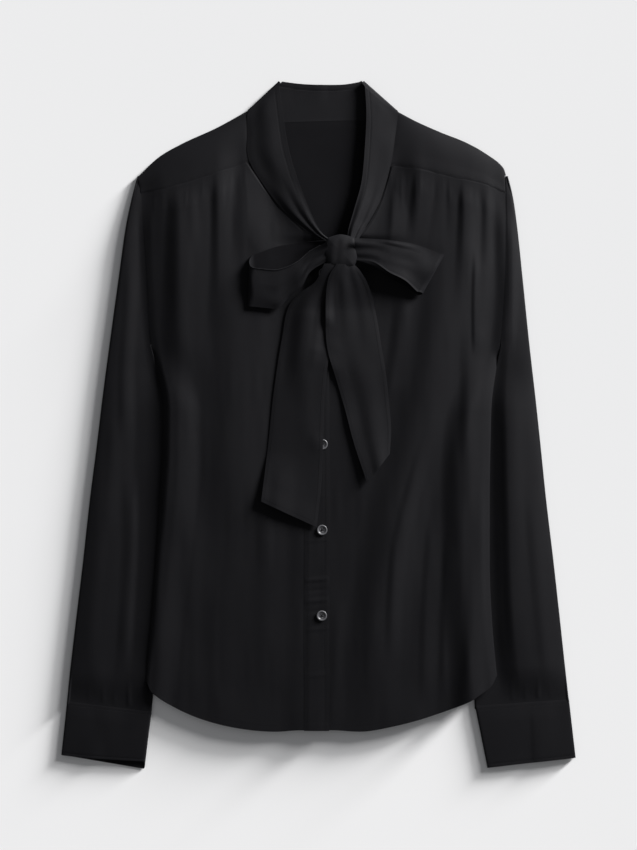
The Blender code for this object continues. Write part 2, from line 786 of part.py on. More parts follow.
def make_tail(name, rungs, below, finish):
    """A tie end that lies on the fronts, with its slanting cut at the last rung."""
    steps = np.linspace(0, 1, 20)
    places = np.linspace(0, 1, len(rungs))
    values = {field: through(steps, places, column(rungs, field)) for field in Edge._fields}
    u = np.linspace(0, 1, 6)[None, :]
    x = mix(values["left_x"][:, None], values["right_x"][:, None], u)
    y = mix(values["left_y"][:, None], values["right_y"][:, None], u)
    ground = ground_under(x, y, below, 15)
    under_knot = ease((values["left_y"] - 120) / 45)[:, None]
    crown = values["lift"][:, None] * np.sin(np.pi * u) * (1 - under_knot)
    z = settle(ground, 12) + GAP + RIBBON_WALL / 2 + crown
    return cloth(name, [grid_of(x, y, z)], RIBBON_WALL, finish)


def loop_rows(rungs, count, widths):
    steps = np.linspace(0, 1, count)
    places = np.linspace(0, 1, len(rungs))
    values = {field: through(steps, places, column(rungs, field)) for field in Turn._fields}
    x = mix(values["low_x"][:, None], values["top_x"][:, None], widths[None, :])
    y = mix(values["low_y"][:, None], values["top_y"][:, None], widths[None, :])
    rise = mix(values["low_rise"][:, None], values["top_rise"][:, None], widths[None, :])
    return x, y, rise


def make_loop(name, under, over, reach, below, finish):
    """A ribbon loop: out from the knot on the lower ply, round its turn and back on the upper one."""
    widths = np.linspace(0, 1, 7)
    x0, y0, rise0 = loop_rows(under, 9, widths)
    x1, y1, rise1 = loop_rows(over, 11, widths)
    seat = GAP + RIBBON_WALL / 2
    z0 = settle(ground_under(x0, y0, below, 8), 8) + seat + rise0
    z1 = settle(ground_under(x1, y1, below, 8), 8) + seat + rise1
    turn = []
    for angle in np.radians([-50, 0, 50]):
        bulge = reach * math.cos(angle)
        along = (1 + math.sin(angle)) / 2
        side = np.sign(x0[-1, 0] - x0[0, 0])
        x = mix(x0[-1], x1[0], along) + side * bulge
        y = mix(y0[-1], y1[0], along)
        z = mix(z0[-1], z1[0], along)
        turn.append(grid_of(x, y, z))
    strip = list(grid_of(x0, y0, z0)) + turn + list(grid_of(x1, y1, z1))
    return cloth(name, [np.array(strip)], RIBBON_WALL, finish)


def make_knot(finish):
    """The wrap in the middle of the bow: a rounded closed pillow with a slight waist."""
    mesh = bmesh.new()
    bmesh.ops.create_uvsphere(mesh, u_segments=24, v_segments=12, radius=1)
    for vertex in mesh.verts:
        x, y, z = vertex.co
        flat = math.hypot(x, y)
        squareness = 1 / max(abs(x), abs(y), 1e-9) * flat if flat > 1e-6 else 1
        grow = mix(1, squareness, 0.35)
        fold = 0.05 * math.cos(6 * math.atan2(y, x)) * flat
        px = KNOT_CENTRE.x + KNOT_HALF[0] * x * grow * (1 + fold) * 0.93
        py = KNOT_CENTRE.y + KNOT_HALF[1] * y * grow * (1 + fold) * 0.93
        rounded = math.copysign(abs(z) ** 0.8, z)
        pz = KNOT_BASE + KNOT_HEIGHT * (1 + rounded) / 2
        vertex.co = Vector((px, py, pz)) * MM
    data = bpy.data.meshes.new("tie_knot")
    mesh.to_mesh(data)
    mesh.free()
    data.materials.append(finish)
    data.shade_smooth()
    knot = bpy.data.objects.new("tie_knot", data)
    bpy.context.collection.objects.link(knot)
    return knot


# Buttons


def make_button(number, placket, finish):
    """A turned disc with a raised rim and a dished middle."""
    x = BUTTON_X[number]
    y = BUTTON_FIRST + BUTTON_STEP * number
    seat = top_finder([placket])(x, y, BUTTON_RADIUS) + GAP
    profile = [
        (0.0, 0.0),
        (0.78, 0.0),
        (1.0, 0.35),
        (1.0, 0.75),
        (0.88, 1.0),
        (0.72, 0.85),
        (0.6, 0.55),
        (0.0, 0.5),
    ]
    mesh = bmesh.new()
    points = [mesh.verts.new((r * BUTTON_RADIUS * MM, 0, h * BUTTON_THICKNESS * MM)) for r, h in profile]
    edges = [mesh.edges.new(pair) for pair in zip(points, points[1:])]
    bmesh.ops.spin(
        mesh, geom=points + edges, cent=(0, 0, 0), axis=(0, 0, 1), angle=2 * math.pi, steps=16
    )
    bmesh.ops.remove_doubles(mesh, verts=mesh.verts, dist=1e-6)
    bmesh.ops.recalc_face_normals(mesh, faces=mesh.faces)
    data = bpy.data.meshes.new(f"button_{number + 1}")
    mesh.to_mesh(data)
    mesh.free()
    data.materials.append(finish)
    data.shade_smooth()
    data.set_sharp_from_angle(angle=math.radians(40))
    button = bpy.data.objects.new(f"button_{number + 1}", data)
    button.location = Vector((x, y, seat)) * MM
    bpy.context.collection.objects.link(button)
    return button


def main():
    clear_scene()
    crepe = material("black crepe", (0.012, 0.012, 0.014), 0.62, 0.4)
    resin = material("smoke button", (0.06, 0.06, 0.065), 0.25, 0.0)
    make_sleeve("sleeve_left", "left", crepe)
    make_sleeve("sleeve_right", "right", crepe)
    make_cuff("cuff_left", "left", crepe)
    make_cuff("cuff_right", "right", crepe)
    make_back(crepe)
    make_yoke(crepe)
    collar = make_collar(crepe)
    under_front, _ = make_front("front_right", "right", UNDER_EDGE, RIGHT_TOP, RIGHT_GATHERS, crepe)
    over_front, points = make_front(
        "front_left", "left", CLOSING_EDGE, LEFT_TOP, LEFT_GATHERS, crepe, lap=True
    )
    placket = make_placket(points, crepe)
    buttons = [make_button(number, placket, resin) for number in range(len(BUTTON_X))]
    panels = [under_front, over_front, placket, collar]
    left_tail = make_tail("tail_left", TAIL_LEFT, panels + buttons, crepe)
    right_tail = make_tail("tail_right", TAIL_RIGHT, panels + buttons, crepe)
    below = panels + buttons + [left_tail, right_tail]
    make_knot(crepe)
    make_loop("loop_left", LOOP_LEFT_UNDER, LOOP_LEFT_OVER, 5.5, below, crepe)
    make_loop("loop_right", LOOP_RIGHT_UNDER, LOOP_RIGHT_OVER, 5.0, below, crepe)


main()
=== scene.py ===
# %% [markdown]
# # A tie neck blouse, laid flat
#
# This notebook dresses the solids of a black crepe blouse that lies face up on a pale ground. The
# solids give the true sizes and the order of the layers. Here every piece of cloth becomes a thin
# shell on the same middle surface, with finer folds, real seams and a woven finish. The first cell
# loads the frame.

import json
import math
from collections import namedtuple

import bmesh
import bpy
import numpy as np
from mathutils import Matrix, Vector
from mathutils.bvhtree import BVHTree

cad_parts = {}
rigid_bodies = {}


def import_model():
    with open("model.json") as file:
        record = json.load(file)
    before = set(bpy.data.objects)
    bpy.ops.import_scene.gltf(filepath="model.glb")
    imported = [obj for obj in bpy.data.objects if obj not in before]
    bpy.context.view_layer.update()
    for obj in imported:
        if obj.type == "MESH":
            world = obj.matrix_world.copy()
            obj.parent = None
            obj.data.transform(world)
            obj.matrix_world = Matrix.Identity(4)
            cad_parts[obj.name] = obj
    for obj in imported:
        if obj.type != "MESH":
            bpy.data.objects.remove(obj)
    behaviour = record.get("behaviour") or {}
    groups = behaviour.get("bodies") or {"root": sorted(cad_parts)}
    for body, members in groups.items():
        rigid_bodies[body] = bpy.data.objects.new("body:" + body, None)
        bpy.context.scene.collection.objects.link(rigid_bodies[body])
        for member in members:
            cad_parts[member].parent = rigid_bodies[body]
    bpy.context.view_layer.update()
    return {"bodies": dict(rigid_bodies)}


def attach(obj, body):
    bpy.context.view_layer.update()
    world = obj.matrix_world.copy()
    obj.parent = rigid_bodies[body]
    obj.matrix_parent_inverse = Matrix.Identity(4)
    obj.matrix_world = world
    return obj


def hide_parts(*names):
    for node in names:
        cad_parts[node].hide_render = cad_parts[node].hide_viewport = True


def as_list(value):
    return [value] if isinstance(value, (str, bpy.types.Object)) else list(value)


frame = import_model()
BODY = list(frame["bodies"])[0]
MM = 0.001

# %% [markdown]
# ## Helpers for objects and nodes
#
# Each piece below is a mesh object, and each finish is a tree of nodes that are joined by links. In
# Blender's window one would add them from a menu. In a script five small helpers make them, so each
# later cell shows only what is special about its own piece or finish.

# %% Helpers for objects and nodes
def fill_inputs(made, values):
    for socket, value in values.items():
        made.inputs[socket].default_value = value


def node(tree, kind, inputs=None, **values):
    """A new node with these properties, and with these values on its inputs."""
    made = tree.nodes.new(kind)
    for name, value in values.items():
        setattr(made, name, value)
    fill_inputs(made, inputs or {})
    return made


def wire(tree, *wires):
    """Join an output of one node to an input of another, once for each wire."""
    for source, output, target, socket in wires:
        tree.links.new(source.outputs[output], target.inputs[socket])


def new_material(name):
    """A material, its node tree and its main shader."""
    made = bpy.data.materials.new(name)
    made.use_nodes = True
    return made, made.node_tree, made.node_tree.nodes["Principled BSDF"]


def add_object(name, vertices, faces, finishes, edges=()):
    """A mesh object at the origin, from points in metres."""
    mesh = bpy.data.meshes.new(name)
    mesh.from_pydata(vertices, edges, faces)
    for finish in finishes:
        mesh.materials.append(finish)
    made = bpy.data.objects.new(name, mesh)
    bpy.context.collection.objects.link(made)
    return made


print("Blender", bpy.app.version_string)

# %% [markdown]
# ## Camera, room and ground
#
# A garment laid on the ground is photographed from straight above with a long lens, so the camera
# looks down from 2.4 m and its picture takes in 669 by 892 mm. The ground is one wide pale sheet, as
# matt as paper, and a faint cloudiness keeps it from looking painted. A dim world fills the shadows.

# %% Camera, room and ground
PICTURE_HEIGHT = 0.8925
CAMERA_HEIGHT = 2.4
FILL_STRENGTH = 0.18
GROUND_HALF = 3.0
GROUND_BELOW = 0.0002


def add_camera():
    lens = bpy.data.cameras.new("camera")
    lens.sensor_fit = "VERTICAL"
    lens.sensor_height = 36
    lens.lens = lens.sensor_height * CAMERA_HEIGHT / PICTURE_HEIGHT
    lens.clip_start = 0.05
    lens.clip_end = 20
    camera = bpy.data.objects.new("camera", lens)
    camera.location = (0, 0, CAMERA_HEIGHT)
    bpy.context.collection.objects.link(camera)
    bpy.context.scene.camera = camera


def add_world():
    world = bpy.data.worlds.new("dim room")
    world.use_nodes = True
    background = world.node_tree.nodes["Background"]
    fill_inputs(background, {"Color": (0.97, 0.98, 1.0, 1), "Strength": FILL_STRENGTH})
    bpy.context.scene.world = world


def add_ground():
    around = ((-1, -1), (1, -1), (1, 1), (-1, 1))
    corners = [(x * GROUND_HALF, y * GROUND_HALF, -GROUND_BELOW) for x, y in around]
    paint, tree, shader = new_material("pale ground")
    fill_inputs(shader, {"Roughness": 0.9, "Specular IOR Level": 0.1})
    place = node(tree, "ShaderNodeTexCoord")
    cloud = node(tree, "ShaderNodeTexNoise", {"Scale": 1.1, "Detail": 1.0})
    shades = {"A": (0.86, 0.865, 0.875, 1), "B": (0.90, 0.90, 0.905, 1)}
    tint = node(tree, "ShaderNodeMix", shades, data_type="RGBA")
    wire(
        tree,
        (place, "Object", cloud, "Vector"),
        (cloud, "Fac", tint, "Factor"),
        (tint, "Result", shader, "Base Color"),
    )
    ground = add_object("ground", corners, [(0, 1, 2, 3)], [paint])
    return ground


add_camera()
add_world()
ground = add_ground()
bpy.context.scene.view_settings.view_transform = "Standard"
print("camera", CAMERA_HEIGHT, "m up, ground", 2 * GROUND_HALF, "m wide")

# %% [markdown]
# ## Lamps
#
# The soft shadow lies only to the left of the blouse and below its hem. It is several times wider
# than the cloth is high and fades evenly, so two broad suns light the ground from the upper right, one
# very low and one a little higher. The cloth itself is shaded softly, with short shadows beside the
# buttons, and it is brightest near the right shoulder, as under a third, higher lamp that stands near
# by on the same side. One lamp could not give both, so each lamp is linked to what it lights.

# %% Lamps
GROUND_LAMP_FROM = math.radians(41)
GroundLamp = namedtuple("GroundLamp", "name height disc strength")
GROUND_LAMPS = [
    GroundLamp("low light on the ground", math.radians(7), math.radians(10), 11.6),
    GroundLamp("high light on the ground", math.radians(15), math.radians(17), 4.0),
]
CLOTH_LAMP_HEIGHT = math.radians(19)
CLOTH_LAMP_FROM = math.radians(40)
CLOTH_LAMP_AWAY = 2.7
CLOTH_LAMP_WIDTH = 1.15
CLOTH_LAMP_WATTS = 214
LAMP_COLOUR = (1.0, 0.995, 0.99)


def add_lamp(name, kind, height, plan, away):
    """A lamp whose light comes down to the middle of the garment from this height and side."""
    lamp = bpy.data.lights.new(name, kind)
    lamp.color = LAMP_COLOUR
    placed = bpy.data.objects.new(name, lamp)
    level_part = math.cos(height)
    towards = Vector((level_part * math.cos(plan), level_part * math.sin(plan), math.sin(height)))
    placed.location = towards * away
    placed.rotation_euler = towards.to_track_quat("Z", "Y").to_euler()
    placed.visible_camera = False
    bpy.context.collection.objects.link(placed)
    return placed


def add_ground_lamp(lamp):
    placed = add_lamp(lamp.name, "SUN", lamp.height, GROUND_LAMP_FROM, 1)
    placed.data.energy = lamp.strength
    placed.data.angle = lamp.disc
    return placed


def add_cloth_lamp():
    name = "soft light on the cloth"
    placed = add_lamp(name, "AREA", CLOTH_LAMP_HEIGHT, CLOTH_LAMP_FROM, CLOTH_LAMP_AWAY)
    placed.data.shape = "DISK"
    placed.data.size = CLOTH_LAMP_WIDTH
    placed.data.energy = CLOTH_LAMP_WATTS
    return placed


def link_lamp(lamp, thing, state):
    """The lamp lights only this thing, or everything else."""
    chosen = bpy.data.collections.new(lamp.name)
    chosen.objects.link(thing)
    chosen.collection_objects[0].light_linking.link_state = state
    lamp.light_linking.receiver_collection = chosen


for lamp in GROUND_LAMPS:
    link_lamp(add_ground_lamp(lamp), ground, "INCLUDE")
link_lamp(add_cloth_lamp(), ground, "EXCLUDE")
print("lamps:", len(GROUND_LAMPS), "for the ground, one for the cloth,", CLOTH_LAMP_AWAY, "m away")

# %% [markdown]
# ## The crepe
#
# Crepe is woven from hard-twisted yarn, so its face is finely pebbled and it shines softly where it
# turns to the light. One node group gives that surface. It reads the piece's own UV map, which is
# laid out in metres of flat cloth, so the grain follows each fold and keeps its real scale. Two waves
# cross for warp and weft, and a fine noise gives the pebble. A larger noise varies the depth of the dye.

# %% Node group for the weave
WARP_PITCH = 0.00034
PEBBLE = 0.0011


def add_sockets(tree, way, **kinds):
    """Sockets on the outside of a node group, by name."""
    new = tree.interface.new_socket
    return {name: new(name, in_out=way, socket_type=f"NodeSocket{kind}") for name, kind in kinds.items()}


def weave_group():
    group = bpy.data.node_groups.new("Crepe surface", "ShaderNodeTree")
    add_sockets(group, "INPUT", Dye="Color", Worn="Color", Roughness="Float")
    add_sockets(group, "OUTPUT", Color="Color", Roughness="Float", Height="Float")
    start, end = node(group, "NodeGroupInput"), node(group, "NodeGroupOutput")
    cut = node(group, "ShaderNodeUVMap", uv_map="Cut")
    bands = {"Scale": math.tau / (20 * WARP_PITCH), "Distortion": 1.2, "Detail": 1.0}
    warp = node(group, "ShaderNodeTexWave", bands, wave_type="BANDS", bands_direction="X")
    weft = node(group, "ShaderNodeTexWave", bands, wave_type="BANDS", bands_direction="Y")
    pebble = node(group, "ShaderNodeTexNoise", {"Scale": 1 / PEBBLE, "Detail": 2.0})
    dye = node(group, "ShaderNodeTexNoise", {"Scale": 14, "Detail": 3.0})
    crossed = node(group, "ShaderNodeMath", operation="MAXIMUM")
    raised = node(group, "ShaderNodeMath", {1: 1.6}, operation="MULTIPLY_ADD")
    fade = node(group, "ShaderNodeMapRange", {"From Min": 0.35, "From Max": 0.7})
    shade = node(group, "ShaderNodeMix", data_type="RGBA")
    yarn = node(group, "ShaderNodeMix", {"Factor": 0.35}, data_type="RGBA", blend_type="MULTIPLY")
    vary = node(group, "ShaderNodeMath", {1: 0.12}, operation="MULTIPLY_ADD")
    wire(
        group,
        *[(cut, "UV", reader, "Vector") for reader in (warp, weft, pebble, dye)],
        (warp, "Fac", crossed, 0),
        (weft, "Fac", crossed, 1),
        (pebble, "Fac", raised, 0),
        (crossed, 0, raised, 2),
        (raised, 0, end, "Height"),
        (dye, "Fac", fade, "Value"),
        (fade, "Result", shade, "Factor"),
        (start, "Dye", shade, "A"),
        (start, "Worn", shade, "B"),
        (shade, "Result", yarn, "A"),
        (crossed, 0, yarn, "B"),
        (yarn, "Result", end, "Color"),
        (pebble, "Fac", vary, 0),
        (start, "Roughness", vary, 2),
        (vary, 0, end, "Roughness"),
    )
    return group


WEAVE = weave_group()


def crepe(name, dye, worn, roughness, sheen, relief_height=0.00006, gloss=0.11):
    cloth, tree, shader = new_material(name)
    colours = {"Dye": (*dye, 1), "Worn": (*worn, 1), "Roughness": roughness}
    surface = node(tree, "ShaderNodeGroup", colours, node_tree=WEAVE)
    relief = node(tree, "ShaderNodeBump", {"Strength": 0.5, "Distance": relief_height})
    fill_inputs(shader, {"Sheen Weight": sheen, "Sheen Roughness": 0.45, "Specular IOR Level": gloss})
    fill_inputs(shader, {"Sheen Tint": (0.9, 0.92, 1.0, 1)})
    wire(
        tree,
        (surface, "Color", shader, "Base Color"),
        (surface, "Roughness", shader, "Roughness"),
        (surface, "Height", relief, "Height"),
        (relief, "Normal", shader, "Normal"),
    )
    return cloth


CREPE = crepe("black crepe", (0.0046, 0.0045, 0.0058), (0.0058, 0.0057, 0.0070), 0.62, 0.02)
# A darker copy of the crepe: painted shade on the back of the yoke in the neck opening and on the lower ply
# of both bow loops.
SHADED_CREPE = crepe(
    "black crepe, painted shade", (0.0029, 0.0028, 0.0038), (0.0038, 0.0037, 0.0047), 0.66, 0.02, gloss=0.07,
)
# A still darker copy of the crepe, used as painted shade on the cut rims of the shell walls.
RIM_SHADE = crepe(
    "black crepe, painted rim shade", (0.0022, 0.0021, 0.0028), (0.0026, 0.0026, 0.0032), 0.66, 0.01, gloss=0.05,
)
print("materials:", CREPE.name, SHADED_CREPE.name, RIM_SHADE.name)

# %% [markdown]
# ## The plan
#
# A table says where each edge, fold and seam runs, in millimetres on the ground: x to the right of
# someone who looks down, y towards the collar. The tables are the ones that the solids were cut from,
# so each shell lands on its solid. Drawing them again here would be the other way, and it would drift.
# The body's plan comes first, because every piece is fitted to it. The other pieces bring their own.

# %% The plan
CLOTH = 0.5
FOLD_RADIUS = 1.25
PLY = 2 * FOLD_RADIUS
FLOOR_PLY = 0.5
UNDERARM = 83
CLOSING_EDGE = 11
UNDER_EDGE = -13

Level = namedtuple("Level", "y left_sleeve left_body right_body right_sleeve")
LEVELS = [
    Level(262, -189.8, -187, 197, 198.5),
    Level(242, -195, -185.5, 196.5, 203.5),
    Level(212, -201.5, -183.5, 196, 208),
    Level(156, -209.5, -179.5, 195, 214),
    Level(83, -219.5, -175, 190, 221.5),
    Level(26, -227, -163, 181.5, 228),
    Level(-16, -232, -162.5, 180, 232.5),
    Level(-79, -240, -166, 179, 239),
    Level(-142, -247, -170, 179, 246.5),
    Level(-205, -254.5, -175, 181.5, 253.5),
    Level(-256, -260.5, -180, 186, 259),
    Level(-291, -264, -183, 190, 263),
    Level(-346, -270, -188, 194, 270),
]
Inner = namedtuple("Inner", "y left right")
INNER_FOLD = [
    Inner(83, -174.0, 189.2),
    Inner(58, -167.5, 184.5),
    Inner(31, -158.5, 177),
    Inner(8, -152.5, 168.5),
    Inner(-16, -148.5, 160),
    Inner(-79, -151, 153),
    Inner(-142, -158, 154),
    Inner(-205, -166, 157),
    Inner(-256, -171, 161),
    Inner(-302, -175, 164),
]
Place = namedtuple("Place", "x y")


def outline(*pairs):
    return [Place(*pair) for pair in pairs]


LEFT_TOP = outline(
    (-186, 244), (-149, 250), (-112, 262), (-75, 275), (-59, 250), (-37, 222), (-7, 196), (11, 191),
)
RIGHT_TOP = outline(
    (196, 244), (174, 252), (146, 258), (99, 269), (77, 272), (67, 237), (54, 210), (42, 195),
    (20, 187), (-13, 185),
)
YOKE_SEAM_POINTS = {"left": 4, "right": 5}
HEM_END_X = {"left": -181, "right": 186}
HEM = outline(
    (-181, -266), (-175, -278), (-168, -284), (-150, -295), (-120, -308), (-79, -318), (-42, -321),
    (-19, -319.5), (12, -319.5), (41, -321), (78, -315), (117, -304), (155, -289), (168, -281),
    (180, -272), (186, -262),
)
KNOT_CENTRE = Place(23.5, 180)
print("hem is", HEM_END_X["right"] - HEM_END_X["left"], "mm wide")

# %% [markdown]
# ## Curves
#
# Each table is only a few points, and a smooth curve has to run through them without swinging past
# them, or an edge would bulge between two points. Blender's own curve objects could do it, but a
# function of one number is easier to ask for a place, and it stays exact.

# %% Curves
def ease(t):
    t = np.clip(t, 0.0, 1.0)
    return t * t * (3 - 2 * t)


def mix(a, b, t):
    return a + (b - a) * t


def through(at, places, values):
    """A smooth curve through a short table, and straight beyond its ends."""
    order = np.argsort(places)
    xs = np.asarray(places, float)[order]
    ys = np.asarray(values, float)[order]
    slopes = np.diff(ys) / np.diff(xs)
    tangents = np.concatenate([slopes[:1], (slopes[:-1] + slopes[1:]) / 2, slopes[-1:]])
    turning = np.concatenate([[False], slopes[:-1] * slopes[1:] <= 0, [False]])
    tangents = np.where(turning, 0.0, tangents)
    at = np.asarray(at, float)
    cell = np.clip(np.searchsorted(xs, at) - 1, 0, len(xs) - 2)
    width = xs[cell + 1] - xs[cell]
    t = np.clip((at - xs[cell]) / width, 0.0, 1.0)
    start = ys[cell] * (1 + 2 * t) * (1 - t) ** 2 + tangents[cell] * width * t * (1 - t) ** 2
    end = ys[cell + 1] * t * t * (3 - 2 * t) - tangents[cell + 1] * width * t * t * (1 - t)
    return start + end


def column(rows, name):
    return np.array([getattr(row, name) for row in rows], float)


def line_through(rows, fractions):
    points = np.array(rows, float)[:, :2]
    run = np.concatenate([[0], np.cumsum(np.linalg.norm(np.diff(points, axis=0), axis=1))])
    run = run / run[-1]
    return np.stack([through(fractions, run, points[:, k]) for k in (0, 1)], axis=-1)


def level(y, name):
    return through(y, column(LEVELS, "y"), column(LEVELS, name))


def inner_fold(y, side):
    return through(y, column(INNER_FOLD, "y"), column(INNER_FOLD, side))


def hem(x):
    return through(x, column(HEM, "x"), column(HEM, "y"))


print("hem is lowest at", float(hem(0)), "mm")

# %% [markdown]
# ## Folds
#
# A fold is a ridge with its own width to each side, so that one flank can be steep and dark while the
# other rolls off softly into the light. Each one follows a path of its own down the cloth and dies
# away at both ends. The photograph gives their places: a dark stripe is a flank that faces left, away
# from the lamps, and a light one faces right. A stretched noise keeps the calm stretches from looking
# pressed.

# %% Folds
def bump(distance, left, right):
    width = np.where(distance < 0, left, right)
    return np.cos(np.pi / 2 * np.clip(np.abs(distance) / width, 0, 1)) ** 2


def waves(x, y, size_x, size_y, seed):
    """Smooth random heights between -1 and 1, with cells of that size."""
    draws = np.random.default_rng(seed).uniform(-1, 1, (64, 64))
    a = np.asarray(x / size_x, float) + 200
    b = np.asarray(y / size_y, float) + 200
    i, j = np.floor(a).astype(int), np.floor(b).astype(int)
    s, t = ease(a - i), ease(b - j)
    low = mix(draws[i % 64, j % 64], draws[(i + 1) % 64, j % 64], s)
    high = mix(draws[i % 64, (j + 1) % 64], draws[(i + 1) % 64, (j + 1) % 64], s)
    return mix(low, high, t)


Ridge = namedtuple("Ridge", "height at left right")


def ridges(across, rows):
    """Ridges that run along a ribbon, each at its own share of the width."""
    return sum(row.height * bump(across - row.at, row.left, row.right) for row in rows)


Crease = namedtuple("Crease", "height left right path")


def fold_height(x, y, creases, fade=0.25):
    """Ridges and troughs along paths that run down the cloth."""
    height = np.zeros(np.broadcast(x, y).shape)
    for crease in creases:
        xs, ys = np.array(crease.path, float).T
        middle = through(y, ys, xs)
        along = (y - ys.min()) / (ys.max() - ys.min())
        strength = ease(along / fade) * ease((1 - along) / fade)
        height += crease.height * strength * bump(x - middle, crease.left, crease.right)
    return height


BODY_FOLDS = [
    Crease(2.5, 6, 38, [(-168, 90), (-159, 26), (-158.5, -16), (-162, -79), (-165, -130)]),
    Crease(1.0, 4, 16, [(-162, -80), (-166, -142), (-171, -205), (-176, -256)]),
    Crease(3.2, 38, 50, [(-84, 190), (-86, 110), (-90, 20), (-95, -50), (-98, -120)]),
    Crease(0.8, 14, 20, [(-130, 60), (-130, -20), (-134, -120), (-140, -220)]),
    Crease(0.6, 20, 26, [(-52, -60), (-54, -150), (-50, -290)]),
    Crease(0.6, 14, 22, [(-104, -150), (-106, -220), (-104, -320)]),
    Crease(0.7, 10, 14, [(-36, 60), (-44, 0), (-56, -90), (-58, -180)]),
    Crease(4.2, 34, 42, [
        (138, 240), (135, 178), (131, 136), (118, 68), (101, -16),
        (83, -79), (68, -168), (57, -221), (46, -345),
    ]),
    Crease(1.5, 12, 22, [(92, 150), (88, 120), (80, 60), (72, 10)]),
    Crease(1.2, 9, 14, [(117, 0), (102, -50), (84, -120), (78, -180), (76, -260)]),
    Crease(0.9, 9, 16, [(122, -80), (116, -150), (113, -220), (111, -310)]),
    Crease(1.4, 12, 20, [(160, 120), (158, 60), (157, 0), (160, -60), (160, -120)]),
    Crease(1.4, 13, 20, [(166, -60), (165, -120), (163, -180), (160, -240), (157, -310)]),
    Crease(0.8, 8, 14, [(136, -110), (134, -180), (131, -290)]),
    Crease(0.6, 12, 16, [(24, -180), (20, -240), (16, -330)]),
    Crease(1.4, 4, 18, [(165, 185), (163.5, 130), (164, 68)]),
]
SLEEVE_FOLDS = [
    Crease(0.9, 9, 12, [(-197, 190), (-199, 120), (-203, 40), (-203, -30)]),
    Crease(1.5, 12, 9, [(-196, -40), (-196, -110), (-199, -180), (-204, -270)]),
    Crease(0.8, 14, 14, [(-226, -20), (-231, -110), (-238, -190), (-243, -270)]),
    Crease(0.5, 9, 12, [(-214, 20), (-218, -60), (-223, -130)]),
    Crease(0.9, 7, 16, [(203, 225), (204, 150), (204, 60)]),
    Crease(1.3, 10, 20, [(200, 60), (199, -20), (201, -110), (204, -200), (212, -280)]),
    Crease(0.7, 10, 14, [(222, -60), (229, -150), (238, -240), (242, -290)]),
    Crease(0.5, 8, 14, [(190, -90), (192, -170), (195, -260)]),
]
SHOULDER_FOLDS = [
    Crease(2.9, 17, 56, [(-176, 250), (-174, 220), (-172, 160), (-168, 100), (-160, 40)]),
    Crease(2.3, 13, 16, [(190, 250), (194, 200), (196.5, 140), (193, 90), (187, 50)]),
]
print("folds on the body:", len(BODY_FOLDS), "on the sleeves:", len(SLEEVE_FOLDS))

# %% [markdown]
# ## Gathers
#
# The fronts are wider than the yoke, and the seam takes up the difference in gathers. A main one
# stands wherever the photograph has a dark flank, and it opens and fades on its way down. Between them
# stand short random ones, with a fixed seed, so that the cloth is the same each time it is made.

# %% Gathers
Gather = namedtuple("Gather", "seam_x low_x low_y left right height")
GATHER_DEPTH = 0.48
SMALL_GATHERS = 18
GATHERS_FROM = 258
LEFT_GATHERS = [
    Gather(-163, -161, 205, 3.5, 5, 0.4),
    Gather(-145, -141, -30, 16, 48, 8.4),
    Gather(-133, -132, 185, 5, 7, 0.7),
    Gather(-122, -120, 195, 4, 6, 0.4),
    Gather(-104, -102, 60, 9, 24, 5.0),
    Gather(-93, -92, 205, 4, 6, 0.5),
    Gather(-80, -73, 120, 11, 30, 4.0),
]
RIGHT_GATHERS = [
    Gather(84, 76, 170, 5, 12, 1.6),
    Gather(104, 97, 178, 5, 7, 1.5),
    Gather(109, 99, 160, 9, 16, 3.5),
    Gather(128, 120, 160, 6, 10, 1.4),
    Gather(139, 138, 180, 4, 7, 1.0),
    Gather(154, 150, 100, 7, 17, 4.8),
    Gather(166, 161, 205, 4, 5, 0.3),
    Gather(177, 175, 90, 6, 9, 2.8),
]


def small_gathers(rows, seed):
    """Short pleats between the main ones, where the seam holds more cloth than it needs."""
    draw = np.random.default_rng(seed)
    xs = [row.seam_x for row in rows]
    low, high = min(xs) - 7, max(xs) + 7
    places = np.linspace(low, high, SMALL_GATHERS) + draw.uniform(-3, 3, SMALL_GATHERS)
    made = []
    for x in places:
        length = draw.uniform(14, 46)
        low_x, height = x + draw.uniform(-2, 2), draw.uniform(0.15, 0.75)
        made.append(Gather(x, low_x, GATHERS_FROM - length, 1.6, 2.2, height))
    return made


def gather_height(x, y, rows, seam_y):
    height = np.zeros(np.broadcast(x, y).shape)
    for row in rows:
        along = np.clip((seam_y - y) / np.maximum(seam_y - row.low_y, 1), 0, 1)
        middle = mix(row.seam_x, row.low_x, along)
        spread = 1 + 0.8 * along
        started = 0.12 + 0.88 * ease((seam_y - y) / 26)
        fade = started * (1 - ease((along - 0.3) / 0.7))
        ridge = bump(x - middle, row.left * spread, row.right * spread)
        height += GATHER_DEPTH * row.height * fade * ridge
    return height


print("main gathers:", len(LEFT_GATHERS), "and", len(RIGHT_GATHERS))

# %% [markdown]
# ## Where the body lies on the sleeves
#
# From the underarm down the fronts and the back lie on the inner margin of each sleeve, which lifts
# them by the height of the tube. The lift is one smooth function of the place, used by every piece of
# the body, so that the layers rise together and none cuts through another.

# %% Where the body lies on the sleeves
SLEEVE_COVER = 5.8
COVER_START = 13
COVER_RAMP = 26
COVER_AHEAD = 30


def cover(x, y):
    """How far the body is lifted where it lies on the inner margin of a sleeve."""
    started = ease((UNDERARM - y) / (UNDERARM - COVER_START))
    ramp = COVER_RAMP
    ahead = y - COVER_AHEAD
    left_fold = np.maximum(inner_fold(y, "left"), inner_fold(ahead, "left"))
    right_fold = np.minimum(inner_fold(y, "right"), inner_fold(ahead, "right"))
    left = ease((left_fold - x + ramp) / ramp)
    right = ease((x - right_fold + ramp) / ramp)
    return SLEEVE_COVER * started * np.maximum(left, right)


print("lifted by up to", SLEEVE_COVER, "mm over the sleeves")

